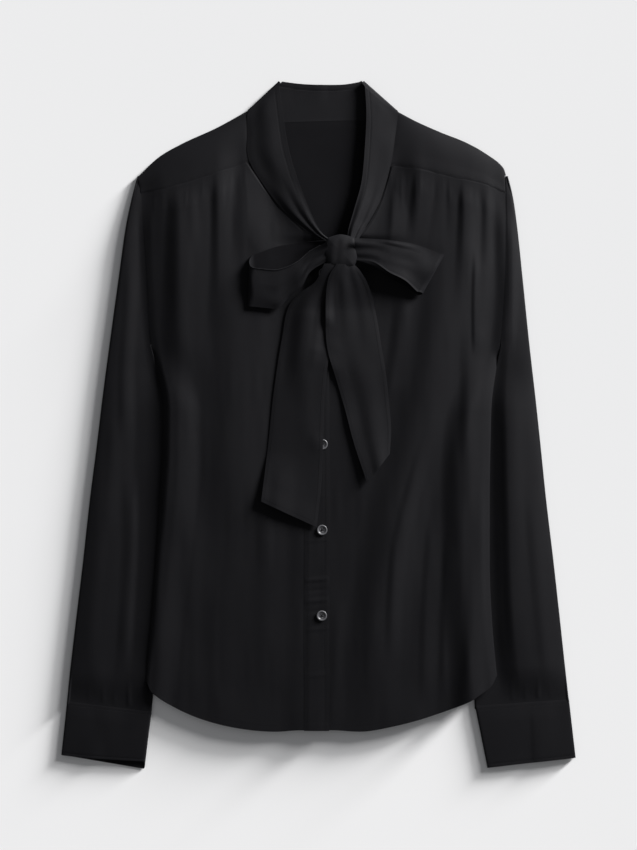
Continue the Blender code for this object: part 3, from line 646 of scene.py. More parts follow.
# %% [markdown]
# ## Shells
#
# A sheet is a grid of points on the middle surface of the cloth, and a Solidify modifier gives it its
# wall. A cloth simulation would settle a garment too, but it wouldn't put each fold where the
# photograph has it. The grid's own lengths give the cut, the flat size of the piece, and the same
# lengths make the UV map that the weave reads.

# %% Grids to shells
MADE = {}


def grid_of(x, y, z):
    return np.stack(np.broadcast_arrays(x, y, z), axis=-1).astype(float)


def cut_map(grid, ring):
    """Metres of cloth from the grid's first column and first row to each point."""
    wide = np.concatenate([grid, grid[:, :1]], axis=1) if ring else grid
    across = np.nan_to_num(np.linalg.norm(np.diff(wide, axis=1), axis=2))
    down = np.nan_to_num(np.linalg.norm(np.diff(wide, axis=0), axis=2))
    u = np.concatenate([np.zeros((wide.shape[0], 1)), np.cumsum(across, axis=1)], axis=1)
    v = np.concatenate([np.zeros((1, wide.shape[1])), np.cumsum(down, axis=0)], axis=0)
    return np.stack([u, v], axis=-1) * MM


def edged(grid, ring):
    """The grid with a narrow cell along each border, so that the shading stays even up to the edge."""
    near = 0.12
    first, last = mix(grid[:1], grid[1:2], near), mix(grid[-1:], grid[-2:-1], near)
    grid = np.concatenate([grid[:1], first, grid[1:-1], last, grid[-1:]])
    if ring:
        return grid
    first, last = mix(grid[:, :1], grid[:, 1:2], near), mix(grid[:, -1:], grid[:, -2:-1], near)
    return np.concatenate([grid[:, :1], first, grid[:, 1:-1], last, grid[:, -1:]], axis=1)


def shell(name, grids, wall, finish, ring=False, flip=False):
    """One object from grids in mm, with one finish or one for each grid. Cells with a missing (nan)
    corner are left out."""
    finishes = finish if isinstance(finish, list) else [finish]
    points, faces, cuts, slots = [], [], [], []
    for grid in [edged(grid, ring) for grid in grids]:
        rows, columns = grid.shape[:2]
        start = sum(len(p) for p in points)
        cut = cut_map(grid, ring)
        i = np.arange(rows - 1)[:, None]
        j = np.arange(columns if ring else columns - 1)[None, :]
        after = (j + 1) % columns
        corners = np.stack(np.broadcast_arrays(
            i * columns + j, i * columns + after, (i + 1) * columns + after, (i + 1) * columns + j,
        ), axis=-1).reshape(-1, 4)
        uv = np.stack([
            cut[:-1, :][:, j[0]], cut[:-1, :][:, j[0] + 1], cut[1:, :][:, j[0] + 1], cut[1:, :][:, j[0]],
        ], axis=2).reshape(-1, 4, 2)
        flat = grid.reshape(-1, 3)
        kept = np.isfinite(flat[corners]).all(axis=(1, 2))
        corners, uv = corners[kept], uv[kept]
        points.append(np.nan_to_num(flat) * MM)
        faces.append(corners + start)
        cuts.append(uv)
        slots += [min(len(cuts), len(finishes)) - 1] * len(corners)
    faces = np.concatenate(faces)
    cuts = np.concatenate(cuts)
    if flip:
        faces, cuts = faces[:, ::-1], cuts[:, ::-1]
    points = np.concatenate(points)
    made = add_object(name, points.tolist(), faces.tolist(), finishes + [RIM_SHADE])
    mesh = made.data
    mesh.polygons.foreach_set("material_index", slots)
    layer = mesh.uv_layers.new(name="Cut")
    layer.data.foreach_set("uv", cuts.reshape(-1))
    joined = bmesh.new()
    joined.from_mesh(mesh)
    loose = [vertex for vertex in joined.verts if not vertex.link_faces]
    bmesh.ops.delete(joined, geom=loose, context="VERTS")
    bmesh.ops.remove_doubles(joined, verts=joined.verts, dist=2e-6)
    joined.to_mesh(mesh)
    joined.free()
    mesh.shade_smooth()
    grown = made.modifiers.new("Wall", "SOLIDIFY")
    grown.thickness = wall * MM
    grown.offset = 0
    grown.use_even_offset = True
    grown.use_quality_normals = True
    # The rims take the next finish in the list, so most of them get the darkest crepe, painted shade along
    # the cut edges.
    grown.material_offset_rim = 1
    MADE[name] = made
    return made


print("ready to cut cloth")

# %% [markdown]
# ## What lies below
#
# A ribbon that lies on other cloth needs to know how high that cloth is. A ray is sent down at each
# point of a coarse map, the highest hit is kept, and the ribbon is let down on the map until it touches
# the high places and spans the hollows. A cloth simulation would find much the same, far more slowly.

# %% What lies below
RAY_FROM = 0.2


def surface_of(names):
    """A function that gives the highest surface of these pieces above a place, in mm."""
    bpy.context.view_layer.update()
    graph = bpy.context.evaluated_depsgraph_get()
    trees = [BVHTree.FromObject(MADE[name], graph) for name in names]
    down = Vector((0, 0, -1))

    def height(x, y):
        start = Vector((x * MM, y * MM, RAY_FROM))
        hits = [tree.ray_cast(start, down)[0] for tree in trees]
        return max([hit.z / MM for hit in hits if hit is not None], default=0.0)

    return height


def heights_under(x, y, names, reach, step=2.5):
    """The highest surface within reach of each point, read from a coarse map of the pieces."""
    height = surface_of(names)
    west, south = x.min() - reach - step, y.min() - reach - step
    across = int((x.max() + reach + step - west) / step) + 2
    along = int((y.max() + reach + step - south) / step) + 2
    easts = [west + i * step for i in range(across)]
    field = np.array([[height(east, south + j * step) for j in range(along)] for east in easts])
    span = int(round(reach / step))
    wide = field.copy()
    for i in range(-span, span + 1):
        for j in range(-span, span + 1):
            if math.hypot(i, j) <= span:
                wide = np.maximum(wide, np.roll(np.roll(field, i, 0), j, 1))
    a, b = (x - west) / step, (y - south) / step
    i, j = a.astype(int), b.astype(int)
    s, t = a - i, b - j
    low = mix(wide[i, j], wide[i + 1, j], s)
    high = mix(wide[i, j + 1], wide[i + 1, j + 1], s)
    return mix(low, high, t)


def settle(required, rounds):
    """Cloth over bumps: it touches the high places and spans softly between them."""
    height = required.copy()
    for _ in range(rounds):
        padded = np.pad(height, 1, mode="edge")
        around = padded[:-2, 1:-1] + padded[2:, 1:-1] + padded[1:-1, :-2] + padded[1:-1, 2:]
        height = np.maximum(required, around / 4)
    return height


print("surface maps ready")

# %% [markdown]
# ## Back and fronts
#
# The back lies flat on the ground and shows only at the neck, but it carries the side seams. Each
# front is one wide grid from the hem to its yoke and neck seams. Its height is the ply below it, a
# soft loft, the folds and the gathers. At the side seam it rolls down to the back like a real turned
# edge, and at the armhole and the yoke it stays flat where the stitches hold it. Its hem is folded
# twice, so the last 7 mm are a little thicker.

# %% Back and fronts
YOKE_BACK_SEAM = 185
BACK_HEM_RISE = 4
LAP_LIFT = 0.9
SIDE_STEPS = np.array([0, 0.12, 0.35, 0.7, 1.2, 1.8, 2.6, 3.7, 5.0])
SEAM_PUFF = 2.4
LEFT_ROLL = 4.5
RIGHT_ROLL = 10.0
BODY_LOFT = 4.2
HEM_FOLD = 7.0
DRAWN_UP = 7.0
DRAWN_REACH = 62
FRONT_SEEDS = {"left": 21, "right": 41}


def side_distance(x, y):
    return np.minimum(x - level(y, "left_body"), level(y, "right_body") - x)


def beside_neck(x):
    """1 where the yoke holds the front up, 0 where the collar is sewn to it."""
    return ease((np.abs(x) - 80) / 28)


def drawn_up(x, y):
    """How far the knot pulls up the fronts round it, above the bow."""
    beside = x - np.clip(x, KNOT_CENTRE.x - 13, KNOT_CENTRE.x + 13)
    away = np.hypot(beside, y - 203)
    return DRAWN_UP * ease((y - 187) / 13) * np.clip(1 - away / DRAWN_REACH, 0, 1) ** 1.3


def front_z(x, y, y_top, seam_y, rows, seed):
    """Middle surface of a front."""
    d = side_distance(x, y)
    under = FLOOR_PLY + cover(x, y)
    below_top = ease((y_top - y) / 80)
    loft = BODY_LOFT * ease(d / 40) * mix(below_top, 0.5 + 0.5 * below_top, beside_neck(x))
    loft = loft + SEAM_PUFF * ease(d / 25) * (1 - ease((y_top - y) / 65)) * beside_neck(x)
    calm = ease(d / 8) * ease((y_top - y) / 30)
    folds = fold_height(x, y, BODY_FOLDS) * calm
    folds += gather_height(x, y, rows, seam_y) * ease(d / 6)
    folds += (0.34 * waves(x, y, 15, 120, seed) + 0.1 * waves(x, y, 6.5, 42, seed + 1)) * calm
    z = under + PLY + np.maximum(loft + folds, 0) + fold_height(x, y, SHOULDER_FOLDS) + drawn_up(x, y)
    roll = np.where(x < 0, LEFT_ROLL, RIGHT_ROLL)
    rolled = np.sin(np.pi / 2 * np.clip(d / roll, 0, 1)) ** 0.75
    low = 0.95 + cover(x, y)
    below_armhole = ease((UNDERARM - 1 - y) / 12)
    z = mix(z, mix(low, z, rolled), below_armhole)
    above_hem = y - hem(x)
    z += 0.08 * (1 - ease((above_hem - HEM_FOLD) / 1.2))
    z -= 0.06 * bump(above_hem - HEM_FOLD - 0.4, 1.0, 1.0)
    z += 0.7 * (waves(x, y, 31, 300, seed + 2) + 0.4) * (1 - ease(above_hem / 45)) * ease(d / 20)
    return z


def lap_lift(x):
    return LAP_LIFT * ease((x - UNDER_EDGE + 22) / 18)


ALL_GATHERS = {
    "left": LEFT_GATHERS + small_gathers(LEFT_GATHERS, 11),
    "right": RIGHT_GATHERS + small_gathers(RIGHT_GATHERS, 12),
}
TOPS = {"left": LEFT_TOP, "right": RIGHT_TOP}
CLOSING_X = {"left": CLOSING_EDGE, "right": UNDER_EDGE}
print("gathers in all:", len(ALL_GATHERS["left"]), "and", len(ALL_GATHERS["right"]))

# %% [markdown]
# ## Panels of the back and the fronts
#
# Each panel is drawn as rows from the hem up, and its columns stand closer together at the side seam,
# where the cloth turns down. A front runs 3 mm under the yoke, as its seam allowance does, so that no
# gap opens along the seam.

# %% Panels of the back and the fronts
FIRST_COLUMN = 6.4
BACK_WIDTH = 365
BACK_HEM_ENDS = (-180, 185)
BACK_COLUMNS = 60
BACK_ROWS = 110


def front_points(side, columns, rows, allowance=3.0):
    top, closing = TOPS[side], CLOSING_X[side]
    top_x, top_y = column(top, "x"), column(top, "y")
    last = YOKE_SEAM_POINTS[side]
    width = abs(closing - top_x[0])
    u = np.concatenate([SIDE_STEPS / width, np.linspace(FIRST_COLUMN / width, 1, columns)])
    table_u = (top_x - top_x[0]) / (closing - top_x[0])
    in_yoke = through(u, table_u[:last], top_y[:last])
    in_neck = through(u, table_u[last - 1:], top_y[last - 1:])
    seam_y = through(np.minimum(u, table_u[last - 1]), table_u[:last], top_y[:last])
    y_top = np.where(u <= table_u[last - 1], in_yoke, in_neck)
    v = 1 - (1 - np.linspace(0, 1, rows)) ** 1.25
    y_hem = hem(mix(HEM_END_X[side], closing, u))
    y = mix(y_hem[None, :], (y_top + allowance)[None, :], v[:, None])
    x = mix(level(y, side + "_body"), closing, u[None, :])
    z = front_z(x, y, y_top[None, :], seam_y[None, :], ALL_GATHERS[side], FRONT_SEEDS[side])
    tucked = ease((y - y_top[None, :] + 0.6) / 2.0)
    z = z - 0.45 * tucked
    if side == "left":
        z = z + lap_lift(x)
    return grid_of(x, y, z)


def back_points():
    beside = SIDE_STEPS / BACK_WIDTH
    u = np.concatenate([beside, np.linspace(0.02, 0.98, BACK_COLUMNS), 1 - beside[::-1]])
    v = np.linspace(0, 1, BACK_ROWS)[:, None]
    y_hem = hem(mix(*BACK_HEM_ENDS, u)) + BACK_HEM_RISE
    y = mix(y_hem[None, :], YOKE_BACK_SEAM + 1.0, v)
    left, right = level(y, "left_body") + 0.1, level(y, "right_body") - 0.1
    x = mix(left, right, u[None, :])
    return grid_of(x, y, CLOTH / 2 + 0.1 + cover(x, y))


BACK = back_points()
FRONT_LEFT = front_points("left", columns=138, rows=236)
FRONT_RIGHT = front_points("right", columns=140, rows=236)
shell("back_shell", [BACK], CLOTH, CREPE)
shell("front_left_shell", [FRONT_LEFT], CLOTH, CREPE)
shell("front_right_shell", [FRONT_RIGHT], CLOTH, CREPE)
print("front points", FRONT_LEFT.shape, FRONT_RIGHT.shape)

# %% [markdown]
# ## Placket
#
# The placket is a folded strip along the closing edge. It follows the front exactly, one cloth higher,
# and it is stitched down 4 mm inside both edges, which leaves a slight roll along each edge. Between
# the third and the fifth button it puckers, as the photograph shows, because thread shrinks more
# than crepe.

# %% Placket
PLACKET_WIDTH = 26
PLACKET_INSET = 4.2
PUCKERS = [(-162, 3.4, 0.45), (-173, 3.0, -0.25), (-184, 3.4, 0.4), (-195, 3.0, -0.2), (-121, 3.0, 0.2),
           (-214, 3.4, 0.25), (-262, 4.0, 0.2), (-75, 3.4, 0.15)]


def placket_points(columns, rows):
    x_line = np.linspace(CLOSING_EDGE - PLACKET_WIDTH, CLOSING_EDGE + 0.3, columns)
    v = np.linspace(0, 1, rows)[:, None]
    top_y = through(x_line, column(LEFT_TOP, "x"), column(LEFT_TOP, "y"))
    y = mix(hem(x_line)[None, :] - 0.5, (top_y + 2)[None, :], v)
    x = x_line[None, :] + 0.35 * waves(y, y * 0, 46, 1, 5)
    seam_y = np.full(columns, 275.0)[None, :]
    z = front_z(x, y, top_y[None, :], seam_y, ALL_GATHERS["left"], FRONT_SEEDS["left"])
    z = z + lap_lift(x) + CLOTH + 0.04
    across = (x - CLOSING_EDGE + PLACKET_WIDTH) / PLACKET_WIDTH
    edge = np.minimum(across, 1 - across) * PLACKET_WIDTH
    pressed = 0.05 * ease(edge / 2) - 0.08 * bump(edge - PLACKET_INSET, 1.2, 1.2)
    z += pressed - 0.4 * (1 - ease(across / 0.2))
    for place, half, height in PUCKERS:
        slant = place + 2.5 * (across - 0.5)
        z += height * bump(y - slant, half, half * 1.3) * np.sin(np.pi * np.clip(across, 0, 1)) ** 0.6
    return grid_of(x, y, z)


PLACKET = placket_points(columns=30, rows=420)
shell("placket_shell", [PLACKET], CLOTH, CREPE)
print("placket", PLACKET.shape)

# %% [markdown]
# ## Yoke
#
# One piece runs over both shoulders. Its back lies on the ground with its wrong side up in the neck
# opening, coloured in the darker crepe as painted shade, and its two flaps turn round the shoulder
# folds and come down over the gathered tops of the fronts. The lower edge of each flap is turned
# under, so it ends in a small roll and the gathers push against it.

# %% Yoke
LEFT_SHOULDER = outline(
    (-190.5, 259.5), (-168, 281), (-144, 295), (-107, 312), (-76, 329),
)
RIGHT_SHOULDER = outline(
    (197, 262), (194, 270), (174, 286), (154, 297), (129, 307), (102, 319), (85, 328),
)
BACK_NECK = outline(
    (-76, 329), (-60, 317), (-35, 318), (1, 319), (44, 320), (68, 320), (85, 328),
)
YOKE_UNDER_COLLAR = 0.025
YOKE_COLUMNS = 90
YOKE_NECK_COLUMNS = 60
YOKE_BACK_ROWS = 40
FLAP_ROWS = 30
FLAP_TURN_STEPS = 11
FLAP_SMOOTHING = 6


def shoulder_flap(shoulder, top, last, side):
    run = np.linspace(0, 1 + YOKE_UNDER_COLLAR, YOKE_COLUMNS)
    f = np.minimum(run, 1)
    fold = line_through(shoulder, f)
    seam = line_through(top[:last], f)
    fold = fold + (run - f)[:, None] * 90 * (fold[-8] - fold[-9])
    seam = seam + (run - f)[:, None] * 90 * (seam[-8] - seam[-9])
    seam[:, 1] -= 1.2
    along = np.gradient(fold, axis=0)
    outward = np.stack([-along[:, 1], along[:, 0]], axis=1)
    outward *= (1 if side == "left" else -1) / np.linalg.norm(outward, axis=1)[:, None]
    for _ in range(FLAP_SMOOTHING):
        outward[1:-1] = (outward[:-2] + outward[1:-1] * 2 + outward[2:]) / 4
    rows = []
    for angle in np.radians(np.linspace(-90, 90, FLAP_TURN_STEPS)):
        shift = FOLD_RADIUS * (math.cos(angle) - 1) - 0.5
        height = FLOOR_PLY + FOLD_RADIUS * (1 + math.sin(angle))
        rows.append(grid_of(*(fold + outward * shift).T, height))
    inner = fold - outward * (FOLD_RADIUS + 0.5)
    for part in np.linspace(0, 1, FLAP_ROWS)[1:]:
        place = mix(inner, seam, part)
        bulge = 1.7 * math.sin(math.pi * part ** 0.8) * np.sin(np.pi * f) ** 0.5
        seam_step = 0.3 * ease((part - 0.6) / 0.3) - 0.4 * ease((part - 0.9) / 0.1)
        d = side_distance(*place.T)
        held = 0.5 * BODY_LOFT * ease(d / 40) + SEAM_PUFF * ease(d / 25)
        held = held * beside_neck(place[:, 0]) * part
        held = held + fold_height(*place.T, SHOULDER_FOLDS) * ease((part - 0.4) / 0.6)
        pushed = 0.2 * waves(place[:, 0], place[:, 1], 5, 60, 61) * ease((part - 0.7) / 0.3)
        soft = 0.4 * waves(place[:, 0], place[:, 1], 26, 30, 62) * math.sin(math.pi * part)
        rows.append(grid_of(*place.T, FLOOR_PLY + PLY + bulge + seam_step + held + pushed + soft))
    return np.array(rows)


def yoke_points():
    left = shoulder_flap(LEFT_SHOULDER, LEFT_TOP, YOKE_SEAM_POINTS["left"], "left")
    right = shoulder_flap(RIGHT_SHOULDER, RIGHT_TOP, YOKE_SEAM_POINTS["right"], "right")
    neck = line_through(BACK_NECK, np.linspace(0, 1, YOKE_NECK_COLUMNS))
    neck[:, 1] += 1.0
    top = np.concatenate([left[0, :-3, :2], neck[1:-1], right[0, -4::-1, :2]])
    spread = (top[:, 0] - top[0, 0]) / (top[-1, 0] - top[0, 0])
    low_x = mix(level(YOKE_BACK_SEAM, "left_body") + 0.1, level(YOKE_BACK_SEAM, "right_body") - 0.1, spread)
    v = np.linspace(0, 1, YOKE_BACK_ROWS)[:, None]
    x = mix(low_x[None, :], top[None, :, 0], v)
    y = mix(float(YOKE_BACK_SEAM), top[None, :, 1], v)
    z = np.full(x.shape, float(FLOOR_PLY))
    wave = 0.5 * (waves(x, y, 30, 70, 63) + 0.5) * ease((v - 0.02) / 0.1) * ease((1 - v) / 0.06)
    z = z + np.maximum(wave, 0) * ease((90 - np.abs(x)) / 30)
    z[0] = FLOOR_PLY
    return grid_of(x, y, z), left, right


YOKE_BACK, YOKE_LEFT, YOKE_RIGHT = yoke_points()
# The back of the yoke takes the darker crepe, painted shade inside the neck opening.
shell("yoke_shell", [YOKE_BACK, YOKE_LEFT, YOKE_RIGHT[:, ::-1]], CLOTH, [SHADED_CREPE, CREPE, CREPE])
print("yoke", YOKE_BACK.shape, YOKE_LEFT.shape)

# %% [markdown]
# ## Collar
#
# The collar is a double band sewn round the neck opening. Laid flat, its back stretch shows its inner
# side, its ends turn over at the two side folds, and both front stretches run down to the knot. There
# they are drawn together, so soft ridges gather along their length. A row of topstitching runs 6 mm
# inside the free edge, and the stitches pull a shallow trough.

# %% Collar
COLLAR_WALL = 0.55
Rung = namedtuple("Rung", "seam_x seam_y seam_z edge_x edge_y edge_z")
COLLAR_LEFT = [
    Rung(-74.8, 330.5, 3.6, -42, 361, 5.2),
    Rung(-74.6, 304, 3.7, -37, 324, 6.0),
    Rung(-73.4, 279, 3.7, -31, 288, 6.6),
    Rung(-57.8, 252, 3.8, -21, 255, 7.4),
    Rung(-36, 224, 4.6, -8, 222, 9.0),
    Rung(-9, 201, 7.8, 2.5, 202.5, 12.0),
    Rung(9, 190, 10.5, 14, 192.5, 12.0),
]
COLLAR_RIGHT = [
    Rung(83.8, 329.5, 3.6, 48, 361, 6.8),
    Rung(80.4, 304, 3.7, 50, 326, 8.4),
    Rung(75.8, 273.5, 3.7, 48.5, 292, 9.2),
    Rung(66.2, 239, 3.8, 45, 255, 9.7),
    Rung(55, 214, 5.2, 37, 225, 10.8),
    Rung(47, 203, 8.0, 31, 203.5, 12.5),
    Rung(40, 191, 10.0, 30.5, 192, 12.0),
]
COLLAR_BACK_EDGE = outline(
    (-42, 361), (-19, 358), (1, 357), (28, 357.5), (48, 361),
)
STITCH_INSET = 6.0
COLLAR_COLUMNS = 44
COLLAR_BACK_STEPS = 88
COLLAR_FRONT_STEPS = 112
COLLAR_FOLD_STEPS = 13
COLLAR_PINCH = {
    "left": [Ridge(1.3, 0.3, 0.24, 0.32), Ridge(1.0, 0.78, 0.24, 0.22)],
    "right": [Ridge(2.2, 0.72, 0.4, 0.26), Ridge(0.9, 0.22, 0.18, 0.2)],
}


def collar_fold(rung, outward, low, widths):
    """The half turn at one side of the neck, from the back stretch up to the first front rung."""
    seam, edge = np.array([rung.seam_x, rung.seam_y]), np.array([rung.edge_x, rung.edge_y])
    line = mix(seam, edge, widths[:, None])
    radius = (mix(rung.seam_z + 0.1, rung.edge_z, widths) - low) / 2
    rows = []
    for angle in np.radians(np.linspace(-90, 90, COLLAR_FOLD_STEPS)):
        shift = radius * (math.cos(angle) - 1) - 0.7
        place = line + np.array(outward)[None, :] * shift[:, None]
        rows.append(grid_of(*place.T, low + radius * (1 + math.sin(angle))))
    return rows


def collar_front(rungs, widths, side):
    steps = np.concatenate([[0], np.linspace(0.03, 1, COLLAR_FRONT_STEPS - 1)])
    places = np.linspace(0, 1, len(rungs))
    at = {name: through(steps, places, column(rungs, name)) for name in Rung._fields}
    rows = []
    for k, step in enumerate(steps[1:], start=1):
        x = mix(at["seam_x"][k], at["edge_x"][k], widths)
        y = mix(at["seam_y"][k], at["edge_y"][k], widths)
        z = mix(at["seam_z"][k], at["edge_z"][k], widths)
        breadth = math.hypot(at["edge_x"][k] - at["seam_x"][k], at["edge_y"][k] - at["seam_y"][k])
        near_knot = float(ease((step - 0.38) / 0.34))
        start = float(ease(step / 0.085))
        z = z + 0.4 * start * np.sin(np.pi * widths)
        z = z + near_knot * ridges(widths, COLLAR_PINCH[side])
        if side == "left":
            z = z + start * (1 - near_knot) * 1.0 * bump(widths - 0.55, 0.35, 0.4)
        z = z + 0.3 * start * waves(np.full(len(widths), step * 228), widths * breadth, 28, 13, 71)
        inset = (1 - widths) * breadth
        z = z - 0.22 * bump(inset - STITCH_INSET, 1.1, 1.1) * (1 - near_knot)
        z = z - 0.15 * (1 - ease(widths * breadth / 5)) * start
        rows.append(grid_of(x, y, z))
    return rows


def collar_points():
    widths = np.linspace(0, 1, COLLAR_COLUMNS)
    low = COLLAR_WALL / 2 + 0.25
    fold_left = collar_fold(COLLAR_LEFT[0], (-0.66, 0.75), low, widths)
    fold_right = collar_fold(COLLAR_RIGHT[0], (0.66, 0.75), low, widths)
    steps = np.linspace(0.045, 0.955, COLLAR_BACK_STEPS)
    seam = line_through(BACK_NECK, steps)
    edge = line_through(COLLAR_BACK_EDGE, steps)
    seam[:, 1] -= 0.4
    back = []
    for step, a, b in zip(steps, seam, edge):
        place = mix(a, b, widths[:, None])
        breadth = np.linalg.norm(b - a)
        inset = (1 - widths) * breadth
        middle = math.sin(math.pi * step) ** 0.5
        z = low + 0.1 * (1 - ease(widths * breadth / 3)) * middle
        z = z - 0.35 * bump(inset - STITCH_INSET, 1.0, 1.0)
        z = z + 0.9 * middle * np.maximum(waves(place[:, 0], place[:, 1], 19, 60, 72), 0) * widths * 0.8
        z = z + 0.5 * middle * ease((widths - 0.75) / 0.25)
        back.append(grid_of(*place.T, z))
    front_left = collar_front(COLLAR_LEFT, widths, "left")
    front_right = collar_front(COLLAR_RIGHT, widths, "right")
    return np.array(front_left[::-1] + fold_left[::-1] + back + fold_right + front_right)


COLLAR = collar_points()
shell("collar_shell", [COLLAR], COLLAR_WALL, CREPE)
print("collar", COLLAR.shape)

# %% [markdown]
# ## Sleeves
#
# A sleeve is a tube that lies flat, with round folds at both sides. Its inner fold runs under the
# body from just below the underarm, and above that its edge is sewn into the armhole. The upper ply
# rises quickly from the armhole seam and then falls slowly to the outer fold. It ends in the cuff,
# where a few small pleats take up its width.

# %% Sleeves
Cuff = namedtuple("Cuff", "outer_top inner_top outer_end inner_end inside_shown")
CUFFS = {
    "left": Cuff((-264, -291), (-175, -302), (-270, -346), (-182, -361), 8.0),
    "right": Cuff((263, -289), (164, -296), (270, -349), (177, -360), 1.0),
}
SLEEVE_TOP = 261
SLEEVE_TOP_SEAM = 8
ARM_ROWS = 162
SHOULDER_ROWS = 70
TOP_SEAM_ROWS = 10
LOW_PLY_COLUMNS = 14
TOP_PLY_COLUMNS = 70
INNER_FOLD_COLUMNS = 5
SLEEVE_FOLD_COLUMNS = 9
SleeveForm = namedtuple("SleeveForm", "loft crest roll climb")
SLEEVE_FORMS = {"left": SleeveForm(2.0, 0.34, 2.3, 4.2), "right": SleeveForm(5.4, 0.66, 1.5, 0)}
CUFF_PLEATS = {
    "left": [(-226, 26, 0.35), (-214, 22, 0.25), (-199, 34, 0.8), (-187, 26, 0.3), (-241, 24, 0.2)],
    "right": [(230, 30, 0.5), (217, 24, 0.3), (203, 28, 0.35), (189, 24, 0.25), (243, 22, 0.2)],
}


def half_ring(outer, outward, low, radius, steps):
    """The round fold at one side of a tube, from its lower ply to its upper one."""
    angles = np.linspace(-math.pi / 2, math.pi / 2, steps + 2)[1:-1]
    turns = [(math.cos(a) - 1, 1 + math.sin(a)) for a in angles]
    return [(outer + outward * radius * back, low + radius * up) for back, up in turns]


def sleeve_points(side):
    sign = -1 if side == "left" else 1
    form = SLEEVE_FORMS[side]
    cuff = CUFFS[side]
    y_in = np.concatenate([
        np.linspace(cuff.inner_top[1] - 2, UNDERARM, ARM_ROWS),
        np.linspace(UNDERARM, SLEEVE_TOP - SLEEVE_TOP_SEAM, SHOULDER_ROWS)[1:],
        np.linspace(SLEEVE_TOP - SLEEVE_TOP_SEAM, SLEEVE_TOP, TOP_SEAM_ROWS)[1:],
    ])
    v = (y_in - cuff.inner_top[1]) / (SLEEVE_TOP - cuff.inner_top[1])
    y_out = mix(cuff.outer_top[1], SLEEVE_TOP, v)
    low = FLOOR_PLY
    f_low = np.linspace(1, 0, LOW_PLY_COLUMNS)
    f_top = np.linspace(0, 1, TOP_PLY_COLUMNS)
    rows = []
    for k in range(len(v)):
        closed = y_in[k] <= UNDERARM + 1e-6
        outer = level(y_out[k], side + "_sleeve") - sign * 0.3
        tuck = 1.4 * float(ease((y_in[k] - UNDERARM) / 20))
        seam = level(y_in[k], side + "_body") + sign * (0.3 - tuck)
        inner = inner_fold(y_in[k], side) + sign * 0.5 if closed else seam
        fat = min(form.roll, 0.9 + 0.06 * abs(outer - seam), 0.45 * abs(outer - seam))
        thin = float(mix(0.65, FOLD_RADIUS, max(ease((y_in[k] - 45) / 38), ease((-235 - y_in[k]) / 50))))
        start = outer - sign * fat
        stop = inner + sign * thin if closed else inner
        points = [(mix(start, stop, f), mix(y_out[k], y_in[k], f), low) for f in f_low]
        turned = half_ring(outer, sign, low, fat, SLEEVE_FOLD_COLUMNS)
        points += [(x, y_out[k], z) for x, z in turned]
        x = mix(start, stop, f_top)
        y = mix(y_out[k], y_in[k], f_top)
        edge = level(y, side + "_body")
        shown = np.clip((x - start) / (edge - start), 0, 1) if closed else f_top
        wide = min(1, abs(outer - seam) / 50)
        rise = np.sin(np.pi / 2 * np.clip(shown / form.crest, 0, 1)) ** 0.8
        above_arm = float(ease((y_in[k] - 12) / 50))
        loft = form.loft * wide * rise * (1 - ease((shown - form.crest) / (1 - form.crest)))
        climb = np.clip((shown - 0.55) / 0.45, 0, 1) ** 1.4
        loft = loft * (1 - 0.5 * above_arm) + (1 - above_arm) * form.climb * climb
        base = mix(2 * fat, 2 * thin, ease(shown / 0.95))
        calm = np.sin(np.pi * shown) ** 0.6
        folds = fold_height(x, y, SLEEVE_FOLDS) * calm
        folds = folds + 0.35 * waves(x, y, 13, 95, 81) * calm
        above_cuff = y - mix(cuff.outer_top[1], cuff.inner_top[1], f_top)
        pinch = ease(above_cuff / 40)
        pleats = 0
        for place, length, height in CUFF_PLEATS[side]:
            fade = ease((above_cuff - 2.5) / 6) * (1 - ease((above_cuff - 4) / length))
            pleats = pleats + height * fade * bump(x - place, 3.2, 4.5)
        end_ply = mix(PLY - 0.1, base, ease((above_cuff - 2) / 30))
        z = low + end_ply + np.maximum(loft + folds, 0) * pinch + pleats * calm
        z = z - (0 if closed else 0.2 * f_top ** 8)
        z = z + fold_height(x, y, SHOULDER_FOLDS) - 0.9 * ease((y - 238) / 18)
        if closed:
            hidden = np.clip((edge - x) * sign / np.maximum((edge - stop) * sign, 1), 0, 1)
            z = mix(z, low + 2 * thin, ease(hidden * 1.6))
        points += list(zip(x, y, z))
        if closed:
            turned = half_ring(inner, -sign, low, thin, INNER_FOLD_COLUMNS)
            points += [(a, y_in[k], b) for a, b in reversed(turned)]
        else:
            points += [(np.nan, np.nan, np.nan)] * INNER_FOLD_COLUMNS
        rows.append(points)
    return np.array(rows, float)


SLEEVES = {side: sleeve_points(side) for side in ("left", "right")}
print("sleeve", SLEEVES["left"].shape)

# %% [markdown]
# ## Cuffs
#
# The cuff is a flat tube of doubled crepe, so it is stiffer than the sleeve and lies with a low even
# crown. A line of stitches at each end pulls a shallow trough. At its open end the upper ply of the
# left cuff is a little shorter, so a wedge of the dark inside shows.

# %% Cuffs
CUFF_WALL = 0.6
CUFF_ROWS = 56
CUFF_FOLD_COLUMNS = 7
CUFF_LENGTH = 55.5
CUFF_INSET = 3.0


